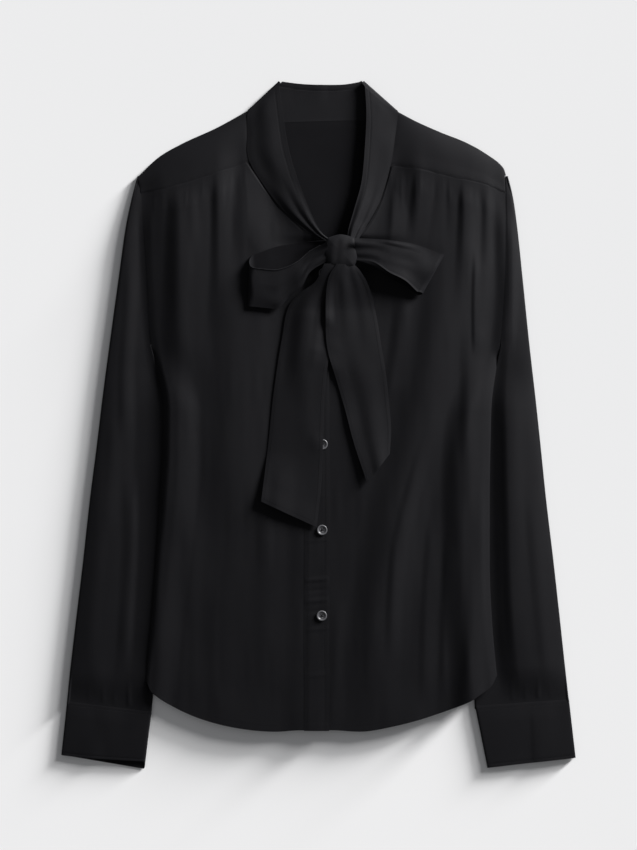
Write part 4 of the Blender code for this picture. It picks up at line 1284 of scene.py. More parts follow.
def cuff_points(side):
    cuff = CUFFS[side]
    low = CUFF_WALL / 2 + 0.3
    radius = (FLOOR_PLY + PLY - low) / 2 + 0.12
    outer_top, inner_top = np.array(cuff.outer_top, float), np.array(cuff.inner_top, float)
    outer_end, inner_end = np.array(cuff.outer_end, float), np.array(cuff.inner_end, float)
    length = np.linalg.norm(outer_end - outer_top)
    rows = []
    for part in np.linspace(0, 1, CUFF_ROWS):
        outer, inner = mix(outer_top, outer_end, part), mix(inner_top, inner_end, part)
        across = (inner - outer) / np.linalg.norm(inner - outer)
        outer, inner = outer + across * 0.5, inner - across * 0.5
        up = np.array([0, 1.2 * (1 - part)])
        start, stop = outer + across * radius, inner - across * radius
        points = [(*(mix(start, stop, f) + up), low) for f in np.linspace(1, 0, LOW_PLY_COLUMNS)]
        for shift, z in half_ring(0.0, 1.0, low, radius, CUFF_FOLD_COLUMNS):
            points.append((*(outer - across * shift + up), z))
        run = part * length
        trough = 0.2 * float(bump(np.array(run - CUFF_INSET), 0.9, 0.9))
        trough += 0.2 * float(bump(np.array(length - run - CUFF_INSET), 0.9, 0.9))
        for f in np.linspace(0, 1, TOP_PLY_COLUMNS):
            back = cuff.inside_shown * f ** 1.3 * part
            x, y = mix(start, stop, f) + up + np.array([0, back])
            crown = 0.9 * math.sin(math.pi * f) ** 0.7 * float(mix(0.25, 1, ease(part / 0.3)))
            crown -= 0.3 * float(1 - ease(part / 0.05))
            soft = 0.5 * float(waves(np.array(x), np.array(y), 17, 60, 91)) * math.sin(math.pi * f)
            crease = 0.0
            if side == "right":
                beside = np.array(x - 226.5 + 0.04 * (y + 320))
                crease = 0.28 * float(bump(beside, 5, 12)) * float(ease(np.array(part / 0.4)))
            points.append((x, y, low + 2 * radius + crown + soft + crease - trough))
        turn = []
        for shift, z in half_ring(0.0, 1.0, low, radius, INNER_FOLD_COLUMNS):
            back = cuff.inside_shown * part * (z - low) / (2 * radius)
            turn.append((*(inner + across * shift + up + np.array([0, back])), z))
        points += reversed(turn)
        rows.append(points)
    return np.array(rows, float)


CUFF_GRIDS = {side: cuff_points(side) for side in ("left", "right")}
for side in ("left", "right"):
    shell(f"sleeve_{side}_shell", [SLEEVES[side]], CLOTH, CREPE, ring=True)
    shell(f"cuff_{side}_shell", [CUFF_GRIDS[side]], CUFF_WALL, CREPE, ring=True)
print("cuff", CUFF_GRIDS["left"].shape)

# %% [markdown]
# ## Buttons
#
# The buttons are small smoky resin discs with a paler raised rim and a dished middle with four holes.
# Each one is turned on a fine polar grid: the profile gives the rim and the dish, and the holes are
# pressed down through it.

# %% Buttons
BUTTON_RADIUS = 5.4
BUTTON_PLACES = {1: (5.5, 159), 2: (5, 69.4), 3: (4.2, -20.2), 4: (3.8, -109.8), 5: (3.4, -199.4)}
BUTTON_SEGMENTS = 64
BUTTON_RINGS = 40
BUTTON_FACE_RINGS = 18
BUTTON_PROFILE = [(0, 1.15), (0.5, 1.15), (0.62, 1.3), (0.72, 1.75), (0.84, 2.0), (0.93, 1.95), (1.0, 1.55),
                  (1.0, 0.9), (0.8, 0.1), (0.72, 0.0)]
HOLE_OFFSET = 0.95
HOLE_RADIUS = 0.48
HOLE_DEPTH = 0.9


def resin(name, face, rim):
    made, tree, shader = new_material(name)
    shade = node(tree, "ShaderNodeMix", {"A": (*face, 1), "B": (*rim, 1)}, data_type="RGBA")
    high = node(tree, "ShaderNodeAttribute", attribute_name="rim")
    fill_inputs(shader, {"Roughness": 0.42, "Coat Weight": 0.12, "Coat Roughness": 0.12})
    wire(tree, (high, "Fac", shade, "Factor"), (shade, "Result", shader, "Base Color"))
    return made


THREAD_RELIEF = 0.00002
RESIN = resin("smoke resin", (0.05, 0.05, 0.055), (0.085, 0.085, 0.092))
THREAD = crepe("black thread", (0.0048, 0.0047, 0.0059), (0.0062, 0.0061, 0.0074), 0.6, 0.03, THREAD_RELIEF)


def ring_faces(rings, segments, first=0, flip=False):
    """The quads between neighbouring rings of points."""
    faces = []
    for i in range(rings - 1):
        low, high = first + i * segments, first + (i + 1) * segments
        for j in range(segments):
            k = (j + 1) % segments
            quad = (low + j, low + k, high + k, high + j)
            faces.append((quad[0], *quad[:0:-1]) if flip else quad)
    return faces


def fan_faces(pole, first, segments, flip=False):
    """The triangles between a ring of points and its pole."""
    turns = [(first + j, first + (j + 1) % segments) for j in range(segments)]
    return [(pole, b, a) if flip else (pole, a, b) for a, b in turns]


def add_button(number):
    x0, y0 = BUTTON_PLACES[number]
    seat = heights_under(np.array([[x0]]), np.array([[y0]]), ["placket_shell"], 5)[0, 0] - 0.1
    profile = np.array(BUTTON_PROFILE)
    run, marks = np.linspace(0, 1, BUTTON_RINGS), np.linspace(0, 1, len(profile))
    r = through(run, marks, profile[:, 0])[1:] * BUTTON_RADIUS
    h = through(run, marks, profile[:, 1])[1:]
    angle = np.linspace(0, 2 * np.pi, BUTTON_SEGMENTS, endpoint=False)
    x = r[:, None] * np.cos(angle)[None, :]
    y = r[:, None] * np.sin(angle)[None, :]
    z = np.repeat(h[:, None], BUTTON_SEGMENTS, axis=1)
    on_face = (np.arange(len(r)) < BUTTON_FACE_RINGS)[:, None]
    for i in (-1, 1):
        for j in (-1, 1):
            gap = np.hypot(x - i * HOLE_OFFSET, y - j * HOLE_OFFSET)
            z = z - HOLE_DEPTH * on_face * (1 - ease((gap - HOLE_RADIUS * 0.6) / (HOLE_RADIUS * 0.8)))
    points = np.stack([x + x0, y + y0, z + seat], axis=-1).reshape(-1, 3)
    vertices = np.concatenate([points, [[x0, y0, seat + h[0]], [x0, y0, seat]]]) * MM
    faces = ring_faces(len(r), BUTTON_SEGMENTS, flip=True)
    faces += fan_faces(len(points), 0, BUTTON_SEGMENTS)
    faces += fan_faces(len(points) + 1, (len(r) - 1) * BUTTON_SEGMENTS, BUTTON_SEGMENTS, flip=True)
    name = f"button_{number}_disc"
    MADE[name] = add_object(name, vertices.tolist(), faces, [RESIN])
    mesh = MADE[name].data
    rim = mesh.attributes.new("rim", "FLOAT", "POINT")
    radii = np.concatenate([np.repeat(r, BUTTON_SEGMENTS), [0, 0]]) / BUTTON_RADIUS
    rim.data.foreach_set("value", ease((radii - 0.6) / 0.2))
    mesh.shade_smooth()
    add_thread(number, x0, y0, seat + h[0])


print("button profile:", len(BUTTON_PROFILE), "points")

# %% [markdown]
# ## Button threads
#
# Two crossed bars of black thread tie each button to the placket. A bar is a bent tube whose ends dip
# into the holes. A curve with a round bevel would give such a tube too, but the helper that joins the
# rings of a button joins these as well.

# %% Button threads
BAR_RINGS = 13
BAR_SEGMENTS = 8


def add_thread(number, x0, y0, height):
    """Two crossed bars of thread, each with ends that dip into the holes."""
    vertices, faces = [], []
    for turn in (math.pi / 4, -math.pi / 4):
        along = np.array([math.cos(turn), math.sin(turn), 0])
        side = np.array([-along[1], along[0], 0])
        start = len(vertices)
        for s in np.linspace(-1, 1, BAR_RINGS):
            centre = np.array([x0, y0, height]) + along * s * HOLE_OFFSET * 1.45
            centre[2] += 0.28 - 0.7 * abs(s) ** 4 + (0.12 if turn > 0 else 0)
            for a in np.linspace(0, 2 * math.pi, BAR_SEGMENTS, endpoint=False):
                vertices.append(centre + side * 0.26 * math.cos(a) + np.array([0, 0, 0.2 * math.sin(a)]))
        faces += ring_faces(BAR_RINGS, BAR_SEGMENTS, start)
        last = start + (BAR_RINGS - 1) * BAR_SEGMENTS
        faces.append(tuple(reversed(range(start, start + BAR_SEGMENTS))))
        faces.append(tuple(range(last, last + BAR_SEGMENTS)))
    name = f"button_{number}_thread"
    MADE[name] = add_object(name, (np.array(vertices) * MM).tolist(), faces, [THREAD])
    MADE[name].data.shade_smooth()


for number in BUTTON_PLACES:
    add_button(number)
print("buttons:", len(BUTTON_PLACES))

# %% [markdown]
# ## A ribbon and its bed
#
# The tie is one long ribbon, folded double and turned in along both edges. Its plan is a table of
# rungs from edge to edge. A coarse grid of it settles on what lies below, and the heights are then
# drawn smoothly at full resolution, because a fine grid would copy every pebble of its bed.

# %% A ribbon and its bed
RIBBON_WALL = 0.45
RIBBON_INSET = 3.4
TABLE_ROWS = 26
TABLE_COLUMNS = 8
SETTLE_ROUNDS = 12


def fine(coarse, rows, columns):
    """A coarse grid of heights, drawn smoothly at full resolution."""
    a = np.linspace(0, 1, coarse.shape[0])
    b = np.linspace(0, 1, coarse.shape[1])
    tall = np.stack([through(np.linspace(0, 1, rows), a, line) for line in coarse.T], axis=1)
    return np.stack([through(np.linspace(0, 1, columns), b, line) for line in tall])


def plan_of(rungs, left, right, steps, widths):
    """x and y across a ribbon whose rungs go from one named edge to the other."""
    places = np.linspace(0, 1, len(rungs))

    def across(axis):
        ends = [through(steps, places, column(rungs, f"{name}_{axis}"))[:, None] for name in (left, right)]
        return mix(*ends, widths[None, :])

    return across("x"), across("y")


def lying_on(rungs, left, right, names, size, reach, table_size):
    """Plan of a ribbon and the height of the ground that it settles on."""
    coarse = plan_of(rungs, left, right, *[np.linspace(0, 1, count) for count in table_size])
    ground = settle(heights_under(*coarse, names, reach), SETTLE_ROUNDS)
    x, y = plan_of(rungs, left, right, *[np.linspace(0, 1, count) for count in size])
    return x, y, fine(ground, *size)


def ribbon_edge(widths, breadth):
    """A narrow turned edge along both sides of a ribbon."""
    inset = np.minimum(widths, 1 - widths) * breadth
    return 0.08 * (1 - ease((inset - 3.0) / 0.8)) - 0.06 * bump(inset - RIBBON_INSET, 0.9, 0.9)


print("bed of a tie end:", TABLE_ROWS, "by", TABLE_COLUMNS, "points")

# %% [markdown]
# ## Tie ends
#
# Both tie ends come out from under the knot, spread in a few long folds and lie on the fronts, over
# the second button. First the ribbon settles on the map of what lies below. Then its own form is
# added: the crown, the lifted edge of the right end and the curled corner of the left one, which throw
# the two sharp shadows in the photograph. Last, both hang from the middle of the knot, so their tops
# slope away from the light.

# %% Tie ends
Edge = namedtuple("Edge", "left_x left_y right_x right_y lift")
TAIL_LEFT = [
    Edge(6, 168, 24, 168, 0),
    Edge(-3, 150, 20, 150, 1.5),
    Edge(-19, 138, 16, 130, 2.5),
    Edge(-32, 122, 14.5, 110, 2.0),
    Edge(-38, 92, 13, 82, 1.0),
    Edge(-43, 62, 8.5, 54, 0.6),
    Edge(-48, 25, 5.5, 14, 0.6),
    Edge(-52, -14, 4.5, -26, 0.4),
    Edge(-56, -48, 2.5, -66, 0.8),
    Edge(-60, -80, -2, -107, 1.6),
]
TAIL_RIGHT = [
    Edge(19, 168, 39, 166, 0),
    Edge(11, 155, 46, 157, 1.5),
    Edge(7.8, 136, 54, 141, 2.5),
    Edge(7.4, 108, 61, 112, 2.0),
    Edge(9.5, 78, 66, 80, 1.0),
    Edge(19, 46, 71, 50, 0.6),
    Edge(28, 15, 74, 20, 0.8),
    Edge(37, -19, 76, -6, 1.4),
    Edge(51, -61, 74.5, -30, 2.4),
]
TAIL_DROP = 12.5
TAIL_ROWS = 200
TAIL_COLUMNS = 46
TAIL_PLEATS = {
    "left": [Ridge(0.6, 0.7, 0.12, 0.14), Ridge(0.4, 0.9, 0.1, 0.1)],
    "right": [Ridge(0.7, 0.42, 0.16, 0.2), Ridge(0.5, 0.76, 0.14, 0.16)],
}
TAIL_SEEDS = {"left": 101, "right": 102}


def tail_points(rungs, names, side):
    fine_size, table_size = (TAIL_ROWS, TAIL_COLUMNS), (TABLE_ROWS, TABLE_COLUMNS)
    x, y, ground = lying_on(rungs, "left", "right", names, fine_size, 7, table_size)
    w = np.linspace(0, 1, TAIL_COLUMNS)[None, :]
    steps = np.linspace(0, 1, TAIL_ROWS)
    lift = through(steps, np.linspace(0, 1, len(rungs)), column(rungs, "lift"))[:, None]
    high = y[:, :1]
    breadth = np.hypot(x[:, -1:] - x[:, :1], y[:, -1:] - y[:, :1])
    free = 1 - ease((high - 118) / 42)
    inset = np.minimum(w, 1 - w) * breadth
    z = ground + mix(0.05, 0.35, ease(inset / 4)) + RIBBON_WALL / 2 + lift * np.sin(np.pi * w) * free
    near = ease((high - 60) / 80) * (1 - 0.6 * ease((high - 140) / 25))
    if side == "left":
        z = z + 2.6 * bump(w - 0.42, 0.34, 0.5) * ease((high - 20) / 60) * free
        z = z + near * ridges(w, TAIL_PLEATS[side])
        corner = ease((-28 - y) / 50) * (1 - w) ** 1.6
        z = z + 4.2 * corner + 0.4 * ease((-26 - y) / 16) * (1 - ease((w - 0.25) / 0.35))
        z = z + 1.0 * ease((steps[:, None] - 0.93) / 0.07) * (1 - w * 0.7)
        z = z + 0.8 * bump(w - 0.3, 0.22, 0.35) * ease((-30 - high) / 30)
    else:
        z = z + 2.4 * (1 - ease(w / 0.2)) * ease((high - 98) / 16) * free
        z = z + near * ridges(w, TAIL_PLEATS[side])
        z = z + 2.8 * (1 - w) ** 3 * ease((46 - high) / 50)
        z = z + 1.1 * bump(w - 0.55, 0.3, 0.4) * ease((90 - high) / 50)
        z = z + 1.2 * ease((steps[:, None] - 0.86) / 0.14) * (1 - 0.5 * w)
    z = z + 0.35 * waves(x, y, 14, 60, TAIL_SEEDS[side]) * free + ribbon_edge(w, breadth)
    return grid_of(x, y, z)


def below_knot(y):
    """How far the tie ends still have to come down from the middle of the knot."""
    return TAIL_DROP * ease((y - 118) / 54)


def hang_from_knot(grid, piece):
    grid[..., 2] += below_knot(grid[..., 1])
    for vertex in piece.data.vertices:
        vertex.co.z += float(below_knot(vertex.co.y / MM)) * MM


PANELS = ["front_left_shell", "front_right_shell", "placket_shell", "collar_shell"]
DISCS = [f"button_{number}_disc" for number in BUTTON_PLACES]
TAILS = {"left": tail_points(TAIL_LEFT, PANELS + DISCS, "left")}
shell("tail_left_shell", [TAILS["left"]], RIBBON_WALL, CREPE)
TAILS["right"] = tail_points(TAIL_RIGHT, PANELS + DISCS + ["tail_left_shell"], "right")
shell("tail_right_shell", [TAILS["right"]], RIBBON_WALL, CREPE)
for side, points in TAILS.items():
    hang_from_knot(points, MADE[f"tail_{side}_shell"])
    print("tie end,", side, "reaches up to", round(float(points[..., 2].max()), 1), "mm")

# %% [markdown]
# ## Bow loops
#
# Each loop is the same ribbon: out from the knot on a lower ply, round a soft turn and back on an
# upper ply. The lower ply is coloured in the darker crepe, as painted shade. The upper ply of the left
# loop stands up, so one looks into its mouth, and a row of pale beads, made with the stitches below,
# draws a thin painted highlight along its edge. The right loop lies over on its side and shows its
# face. Both are pinched into ridges at the knot.

# %% Bow loops
Turn = namedtuple("Turn", "top_x top_y low_x low_y top_rise low_rise")
LOOP_LEFT_UNDER = [
    Turn(9.5, 192, 9.5, 170, 4.0, 4.0),
    Turn(-8, 192, -12, 163, 2.5, 1.5),
    Turn(-25, 190, -32, 146, 1.0, 0.5),
    Turn(-46, 186, -48, 130, 0.4, 0.2),
    Turn(-66, 178.5, -68, 126, 0.4, 0.2),
]
LOOP_LEFT_OVER = [
    Turn(-67, 164, -68, 123.5, 9.0, 3.4),
    Turn(-48, 162, -45, 121.5, 9.5, 3.2),
    Turn(-34, 164.5, -31, 133, 10.0, 4.0),
    Turn(-20, 172, -17, 145, 11.0, 7.5),
    Turn(-8, 182, -8, 160, 12.0, 10.5),
    Turn(9.5, 190.5, 9.5, 171, 12.0, 12.5),
]
LOOP_RIGHT_UNDER = [
    Turn(37.5, 192, 37.5, 173, 4.0, 4.0),
    Turn(60, 190, 58, 166, 2.5, 1.5),
    Turn(80, 187, 74, 154, 1.0, 0.8),
    Turn(102, 183, 90, 146, 0.4, 0.6),
    Turn(125, 176, 104, 136, 0.3, 0.4),
]
LOOP_RIGHT_OVER = [
    Turn(127, 178.5, 103, 139, 5.4, 6.0),
    Turn(103, 187.5, 90, 150.5, 9.0, 10.2),
    Turn(82, 191.5, 74, 158.5, 11.2, 12.6),
    Turn(62, 193.5, 57, 169.5, 12.4, 13.6),
    Turn(37.5, 194, 37.5, 172, 12.5, 13.5),
]
LOOP_COLUMNS = 46
UNDER_ROWS = 54
OVER_ROWS = 90
LOOP_TURN_STEPS = 17
SHADED_LOOP_ROWS = 60
LOOP_PINCH = {
    "left": [Ridge(0.9, 0.22, 0.18, 0.24), Ridge(0.6, 0.64, 0.18, 0.2)],
    "right": [Ridge(0.9, 0.3, 0.2, 0.26), Ridge(0.6, 0.74, 0.18, 0.18)],
}


def loop_ply(rungs, names, rows, coarse_rows):
    sizes = (rows, LOOP_COLUMNS), 6, (coarse_rows, TABLE_COLUMNS)
    x, y, ground = lying_on(rungs, "low", "top", names, *sizes)
    w = np.linspace(0, 1, LOOP_COLUMNS)[None, :]
    steps = np.linspace(0, 1, rows)
    places = np.linspace(0, 1, len(rungs))
    low = through(steps, places, column(rungs, "low_rise"))[:, None]
    top = through(steps, places, column(rungs, "top_rise"))[:, None]
    return x, y, ground + 0.35 + RIBBON_WALL / 2 + mix(low, top, w), w, steps[:, None]


def loop_points(under, over, reach, names, side):
    x0, y0, z0, w, s0 = loop_ply(under, names, UNDER_ROWS, 14)
    x1, y1, z1, _, s1 = loop_ply(over, names, OVER_ROWS, 16)
    pinch0, pinch1 = 1 - ease(s0 / 0.55), ease((s1 - 0.35) / 0.65)
    z0 = z0 + 0.6 * pinch0 * np.cos(5.5 * np.pi * w) + 0.3 * waves(x0, y0, 14, 20, 111)
    z1 = z1 + pinch1 * ridges(w, LOOP_PINCH[side])
    if side == "left":
        z1 = z1 + 1.4 * np.sin(np.pi * w) * (1 - ease((s1 - 0.5) / 0.4))
        z1 = z1 - 0.4 * bump(w - 0.42, 0.2, 0.2) * (1 - pinch1) * ease(s1 / 0.2)
        z1 = z1 + 0.9 * bump(w - 0.12, 0.12, 0.2) * bump(s1 - 0.35, 0.3, 0.3)
    else:
        z1 = z1 + 1.6 * bump(w - 0.55, 0.4, 0.45) * (1 - ease((s1 - 0.35) / 0.5))
        z1 = z1 + 2.2 * (1 - ease(w / 0.6)) * bump(s1 - 0.35, 0.35, 0.5)
        z1 = z1 - 0.6 * bump(w - 0.62 + 0.25 * s1, 0.2, 0.26) * bump(s1 - 0.32, 0.26, 0.3)
        z1 = z1 + 0.8 * bump(w - 0.9, 0.1, 0.1) * bump(s1 - 0.5, 0.4, 0.3)
    z1 = z1 + 0.3 * waves(x1, y1, 13, 17, 112)
    breadth = np.hypot(x1[:, -1:] - x1[:, :1], y1[:, -1:] - y1[:, :1])
    rim = w if side == "left" else 1 - w
    z1 = z1 + 0.6 * (1 - ease((1 - rim) * breadth / 1.8)) * (1 - 0.6 * pinch1)
    side_way = np.sign(x0[-1, 0] - x0[0, 0])
    turn = []
    for angle in np.radians(np.linspace(-76, 76, LOOP_TURN_STEPS)):
        along = (1 + math.sin(angle)) / 2
        x = mix(x0[-1], x1[0], along) + side_way * reach * math.cos(angle)
        z = mix(z0[-1], z1[0], along) + 0.5 * math.cos(angle) * np.cos(3 * np.pi * w[0])
        turn.append(grid_of(x, mix(y0[-1], y1[0], along), z))
    return np.array(list(grid_of(x0, y0, z0)) + turn + list(grid_of(x1, y1, z1)))


LOOPS = {
    "left": loop_points(LOOP_LEFT_UNDER, LOOP_LEFT_OVER, 5.5, PANELS, "left"),
    "right": loop_points(LOOP_RIGHT_UNDER, LOOP_RIGHT_OVER, 5.0, PANELS, "right"),
}
# The first rows of each loop, its lower ply, take the darker crepe as painted shade.
for side, points in LOOPS.items():
    parts = [points[:SHADED_LOOP_ROWS], points[SHADED_LOOP_ROWS - 1:]]
    shell(f"loop_{side}_shell", parts, RIBBON_WALL, [SHADED_CREPE, CREPE])
    print("loop,", side, "reaches up to", round(float(points[..., 2].max()), 1), "mm")

# %% [markdown]
# ## Knot
#
# The wrap of the bow is a wad of the same crepe. It is made as one closed rounded form whose face is
# gathered into pleats that run up and down, because that is how the wrap is pulled round the loops,
# and it narrows a little where it disappears behind them.

# %% Knot
KNOT_HALF = (18.6, 18.5)
KNOT_BASE = 10.8
KNOT_HEIGHT = 12.6
KNOT_SEGMENTS = 112
KNOT_RINGS = 60
KNOT_PLEATS = [Ridge(0.5, -9, 5, 7), Ridge(0.45, 1, 6, 8), Ridge(0.35, 10, 6, 6)]


def add_knot():
    theta = np.linspace(0, 2 * np.pi, KNOT_SEGMENTS, endpoint=False)[None, :]
    phi = np.linspace(-np.pi / 2, np.pi / 2, KNOT_RINGS)[1:-1, None]
    x, y, z = np.cos(phi) * np.cos(theta), np.cos(phi) * np.sin(theta), np.sin(phi) * np.ones_like(theta)
    flat = np.hypot(x, y)
    square = flat / np.maximum(np.maximum(np.abs(x), np.abs(y)), 1e-9)
    grow = mix(1.0, square, 0.35)
    lumpy = 1 + 0.05 * waves(90 * x, 90 * y, 60, 60, 122)
    px = KNOT_HALF[0] * x * grow * 0.95 * lumpy
    py = KNOT_HALF[1] * y * grow * 0.97 * lumpy
    waist = 1 - 0.1 * bump(np.abs(py) - 18, 9, 9)
    px = px * waist
    pz = KNOT_BASE + KNOT_HEIGHT * (1 + np.sign(z) * np.abs(z) ** 0.7) / 2
    face = ease(z / 0.5) * ease((18.5 - np.abs(py)) / 7)
    slant = 0.12 * py
    pz = pz + (face - 0.35) * ridges(px - slant, KNOT_PLEATS)
    pz = pz + 0.3 * waves(px, py, 9, 15, 121) * face
    points = np.stack([px + KNOT_CENTRE.x, py + KNOT_CENTRE.y, pz], axis=-1)
    bottom = [KNOT_CENTRE.x, KNOT_CENTRE.y, KNOT_BASE]
    top = [KNOT_CENTRE.x, KNOT_CENTRE.y, float(pz[-1].mean())]
    vertices = points.reshape(-1, 3).tolist() + [bottom, top]
    rings, pole = len(points), len(points) * KNOT_SEGMENTS
    faces = ring_faces(rings, KNOT_SEGMENTS)
    faces += fan_faces(pole, 0, KNOT_SEGMENTS, flip=True)
    faces += fan_faces(pole + 1, (rings - 1) * KNOT_SEGMENTS, KNOT_SEGMENTS)
    MADE["tie_knot_wrap"] = add_object("tie_knot_wrap", (np.array(vertices) * MM).tolist(), faces, [CREPE])
    mesh = MADE["tie_knot_wrap"].data
    layer = mesh.uv_layers.new(name="Cut")
    at = np.array(vertices)
    flat_cut = np.stack([at[:, 0], at[:, 1]], axis=1) * MM * 1.15
    loops = np.empty(len(mesh.loops), int)
    mesh.loops.foreach_get("vertex_index", loops)
    layer.data.foreach_set("uv", flat_cut[loops].reshape(-1))
    mesh.shade_smooth()


add_knot()
print("knot is", 2 * KNOT_HALF[0], "mm wide")

# %% [markdown]
# ## Stitches
#
# Rows of stitches follow the real surfaces: the collar's topstitching, both edges of the placket and
# of the tie ends, the folded hem and the ends of the cuffs. A Geometry Nodes tree cuts each line into
# equal steps and sets one small thread on each step, turned along the line. With short steps and a
# thick thread the same tree makes a row of pale beads at the mouth of the left loop, a painted
# highlight along its rolled edge. The result is made a plain mesh, so the rows need no modifier later.

# %% Stitch tree
STITCH_STEP = 0.0028
STITCH_THREAD = 0.00015


def stitch_tree():
    tree = bpy.data.node_groups.new("Stitch row", "GeometryNodeTree")
    kinds = {"Geometry": "Geometry", "Step": "Float", "Thread": "Float", "Finish": "Material"}
    inputs = add_sockets(tree, "INPUT", **kinds)
    add_sockets(tree, "OUTPUT", Geometry="Geometry")
    start, end = node(tree, "NodeGroupInput"), node(tree, "NodeGroupOutput")
    to_curve = node(tree, "GeometryNodeMeshToCurve")
    resample = node(tree, "GeometryNodeResampleCurve", mode="LENGTH")
    tangent = node(tree, "GeometryNodeInputTangent")
    turn = node(tree, "FunctionNodeAlignRotationToVector", axis="X")
    sphere = node(tree, "GeometryNodeMeshUVSphere", {"Segments": 6, "Rings": 4, "Radius": 1.0})
    stretch = node(tree, "ShaderNodeCombineXYZ")
    half = node(tree, "ShaderNodeMath", {1: 0.40}, operation="MULTIPLY")
    place = node(tree, "GeometryNodeInstanceOnPoints")
    real = node(tree, "GeometryNodeRealizeInstances")
    paint = node(tree, "GeometryNodeSetMaterial")
    wire(
        tree,
        (start, "Geometry", to_curve, "Mesh"),
        (to_curve, "Curve", resample, "Curve"),
        (start, "Step", resample, "Length"),
        (tangent, "Tangent", turn, "Vector"),
        (start, "Step", half, 0),
        (half, 0, stretch, "X"),
        (start, "Thread", stretch, "Y"),
        (start, "Thread", stretch, "Z"),
        (resample, "Curve", place, "Points"),
        (sphere, "Mesh", place, "Instance"),
        (turn, "Rotation", place, "Rotation"),
        (stretch, "Vector", place, "Scale"),
        (place, "Instances", real, "Geometry"),
        (real, "Geometry", paint, "Geometry"),
        (start, "Finish", paint, "Material"),
        (paint, "Geometry", end, "Geometry"),
    )
    return tree, {name: socket.identifier for name, socket in inputs.items()}


STITCH_TREE, STITCH_INPUTS = stitch_tree()
print("stitch tree:", len(STITCH_TREE.nodes), "nodes")

# %% [markdown]
# ## Lines on the cloth
#
# A row of stitches lies on a line that runs at a fixed distance from an edge. It is found on the grid
# of its piece, by rows and columns with fractions, and lifted to the face of the cloth. Then the tree
# is run on it. Drawing the lines by hand would leave them floating over the folds.

# %% Lines on the cloth
def grid_normals(grid):
    across = np.gradient(grid, axis=1)
    down = np.gradient(grid, axis=0)
    normal = np.cross(across, down)
    return normal / np.maximum(np.linalg.norm(normal, axis=-1, keepdims=True), 1e-9)


def on_grid(grid, rows, columns, lift):
    """Points at fractional rows and columns of a grid, lifted off its middle surface."""
    rows = np.clip(np.asarray(rows, float), 0, grid.shape[0] - 1.001)
    columns = np.clip(np.asarray(columns, float), 0, grid.shape[1] - 1.001)
    i, j = rows.astype(int), columns.astype(int)
    s, t = (rows - i)[:, None], (columns - j)[:, None]
    normals = grid_normals(grid)

    def read(field):
        return mix(mix(field[i, j], field[i + 1, j], s), mix(field[i, j + 1], field[i + 1, j + 1], s), t)

    return read(grid) + read(normals) * lift


def stitch_rows(name, lines, step=STITCH_STEP, thread=STITCH_THREAD, finish=THREAD):
    """One piece of stitches along these lines of points in mm."""
    vertices, edges = [], []
    for line in lines:
        start = len(vertices)
        vertices += (np.asarray(line) * MM).tolist()
        edges += [(start + k, start + k + 1) for k in range(len(line) - 1)]
    row = add_object(name, vertices, [], [], edges)
    rule = row.modifiers.new("Stitches", "NODES")
    rule.node_group = STITCH_TREE
    for socket, value in (("Step", step), ("Thread", thread), ("Finish", finish)):
        rule[STITCH_INPUTS[socket]] = value
    bpy.context.view_layer.update()
    graph = bpy.context.evaluated_depsgraph_get()
    plain = bpy.data.meshes.new_from_object(row.evaluated_get(graph))
    row.modifiers.remove(rule)
    row.data = plain
    plain.shade_smooth()
    MADE[name] = row
    print(name, len(plain.polygons), "faces")


def inset_columns(grid, rows, inset, from_last=True):
    """The column at which each row has this many mm left to its edge."""
    found = []
    for row in rows:
        line = grid[int(row)]
        run = np.concatenate([[0], np.cumsum(np.linalg.norm(np.diff(line, axis=0), axis=1))])
        target = run[-1] - inset if from_last else inset
        found.append(np.interp(target, run, np.arange(len(run))))
    return np.array(found)


print("stitches are", STITCH_STEP * 1000, "mm long")

# %% [markdown]
# ## Rows of stitches
#
# Each piece has its own row or pair of rows, at the distances that the photograph shows. The row at the
# mouth of the left loop is a painted highlight: paler beads that stand for the light on the rolled edge.

# %% Rows of stitches
def collar_stitches():
    rows = np.arange(0, len(COLLAR))
    columns = inset_columns(COLLAR, rows, STITCH_INSET)
    front = COLLAR_FRONT_STEPS - 1
    turn = front + COLLAR_FOLD_STEPS
    lines = []
    for span in (rows[8:front], rows[turn:-turn], rows[-front:-8]):
        normal = grid_normals(COLLAR)[span[len(span) // 2], 20]
        up = 1 if normal[2] > 0 else -1
        lines.append(on_grid(COLLAR, span, columns[span], up * (COLLAR_WALL / 2 + 0.03)))
    return lines


def lifted(grid, rows, columns, wall):
    points = on_grid(grid, rows, columns, 0)
    points[:, 2] += wall / 2 + 0.04
    return points


def hem_stitches(side):
    grid = FRONT_LEFT if side == "left" else FRONT_RIGHT
    columns = np.arange(8, grid.shape[1] - (18 if side == "left" else 2))
    picked = []
    for j in columns:
        above = grid[:, j, 1] - hem(grid[:, j, 0])
        picked.append(np.interp(HEM_FOLD, above, np.arange(len(above))))
    return lifted(grid, picked, columns, CLOTH)


def placket_stitches():
    rows = np.arange(2, 405)
    columns = PLACKET.shape[1] - 1
    inset = PLACKET_INSET / PLACKET_WIDTH * columns
    return [lifted(PLACKET, rows, np.full(len(rows), line), CLOTH) for line in (inset, columns - inset)]


def cuff_stitches(side):
    grid = CUFF_GRIDS[side]
    first = LOW_PLY_COLUMNS + CUFF_FOLD_COLUMNS
    columns = np.arange(first + 2, first + TOP_PLY_COLUMNS - 2)
    lines = []
    for inset in (CUFF_INSET, CUFF_LENGTH - 0.5 - CUFF_INSET):
        line = inset / CUFF_LENGTH * (grid.shape[0] - 1)
        lines.append(lifted(grid, np.full(len(columns), line), columns, CUFF_WALL))
    return lines


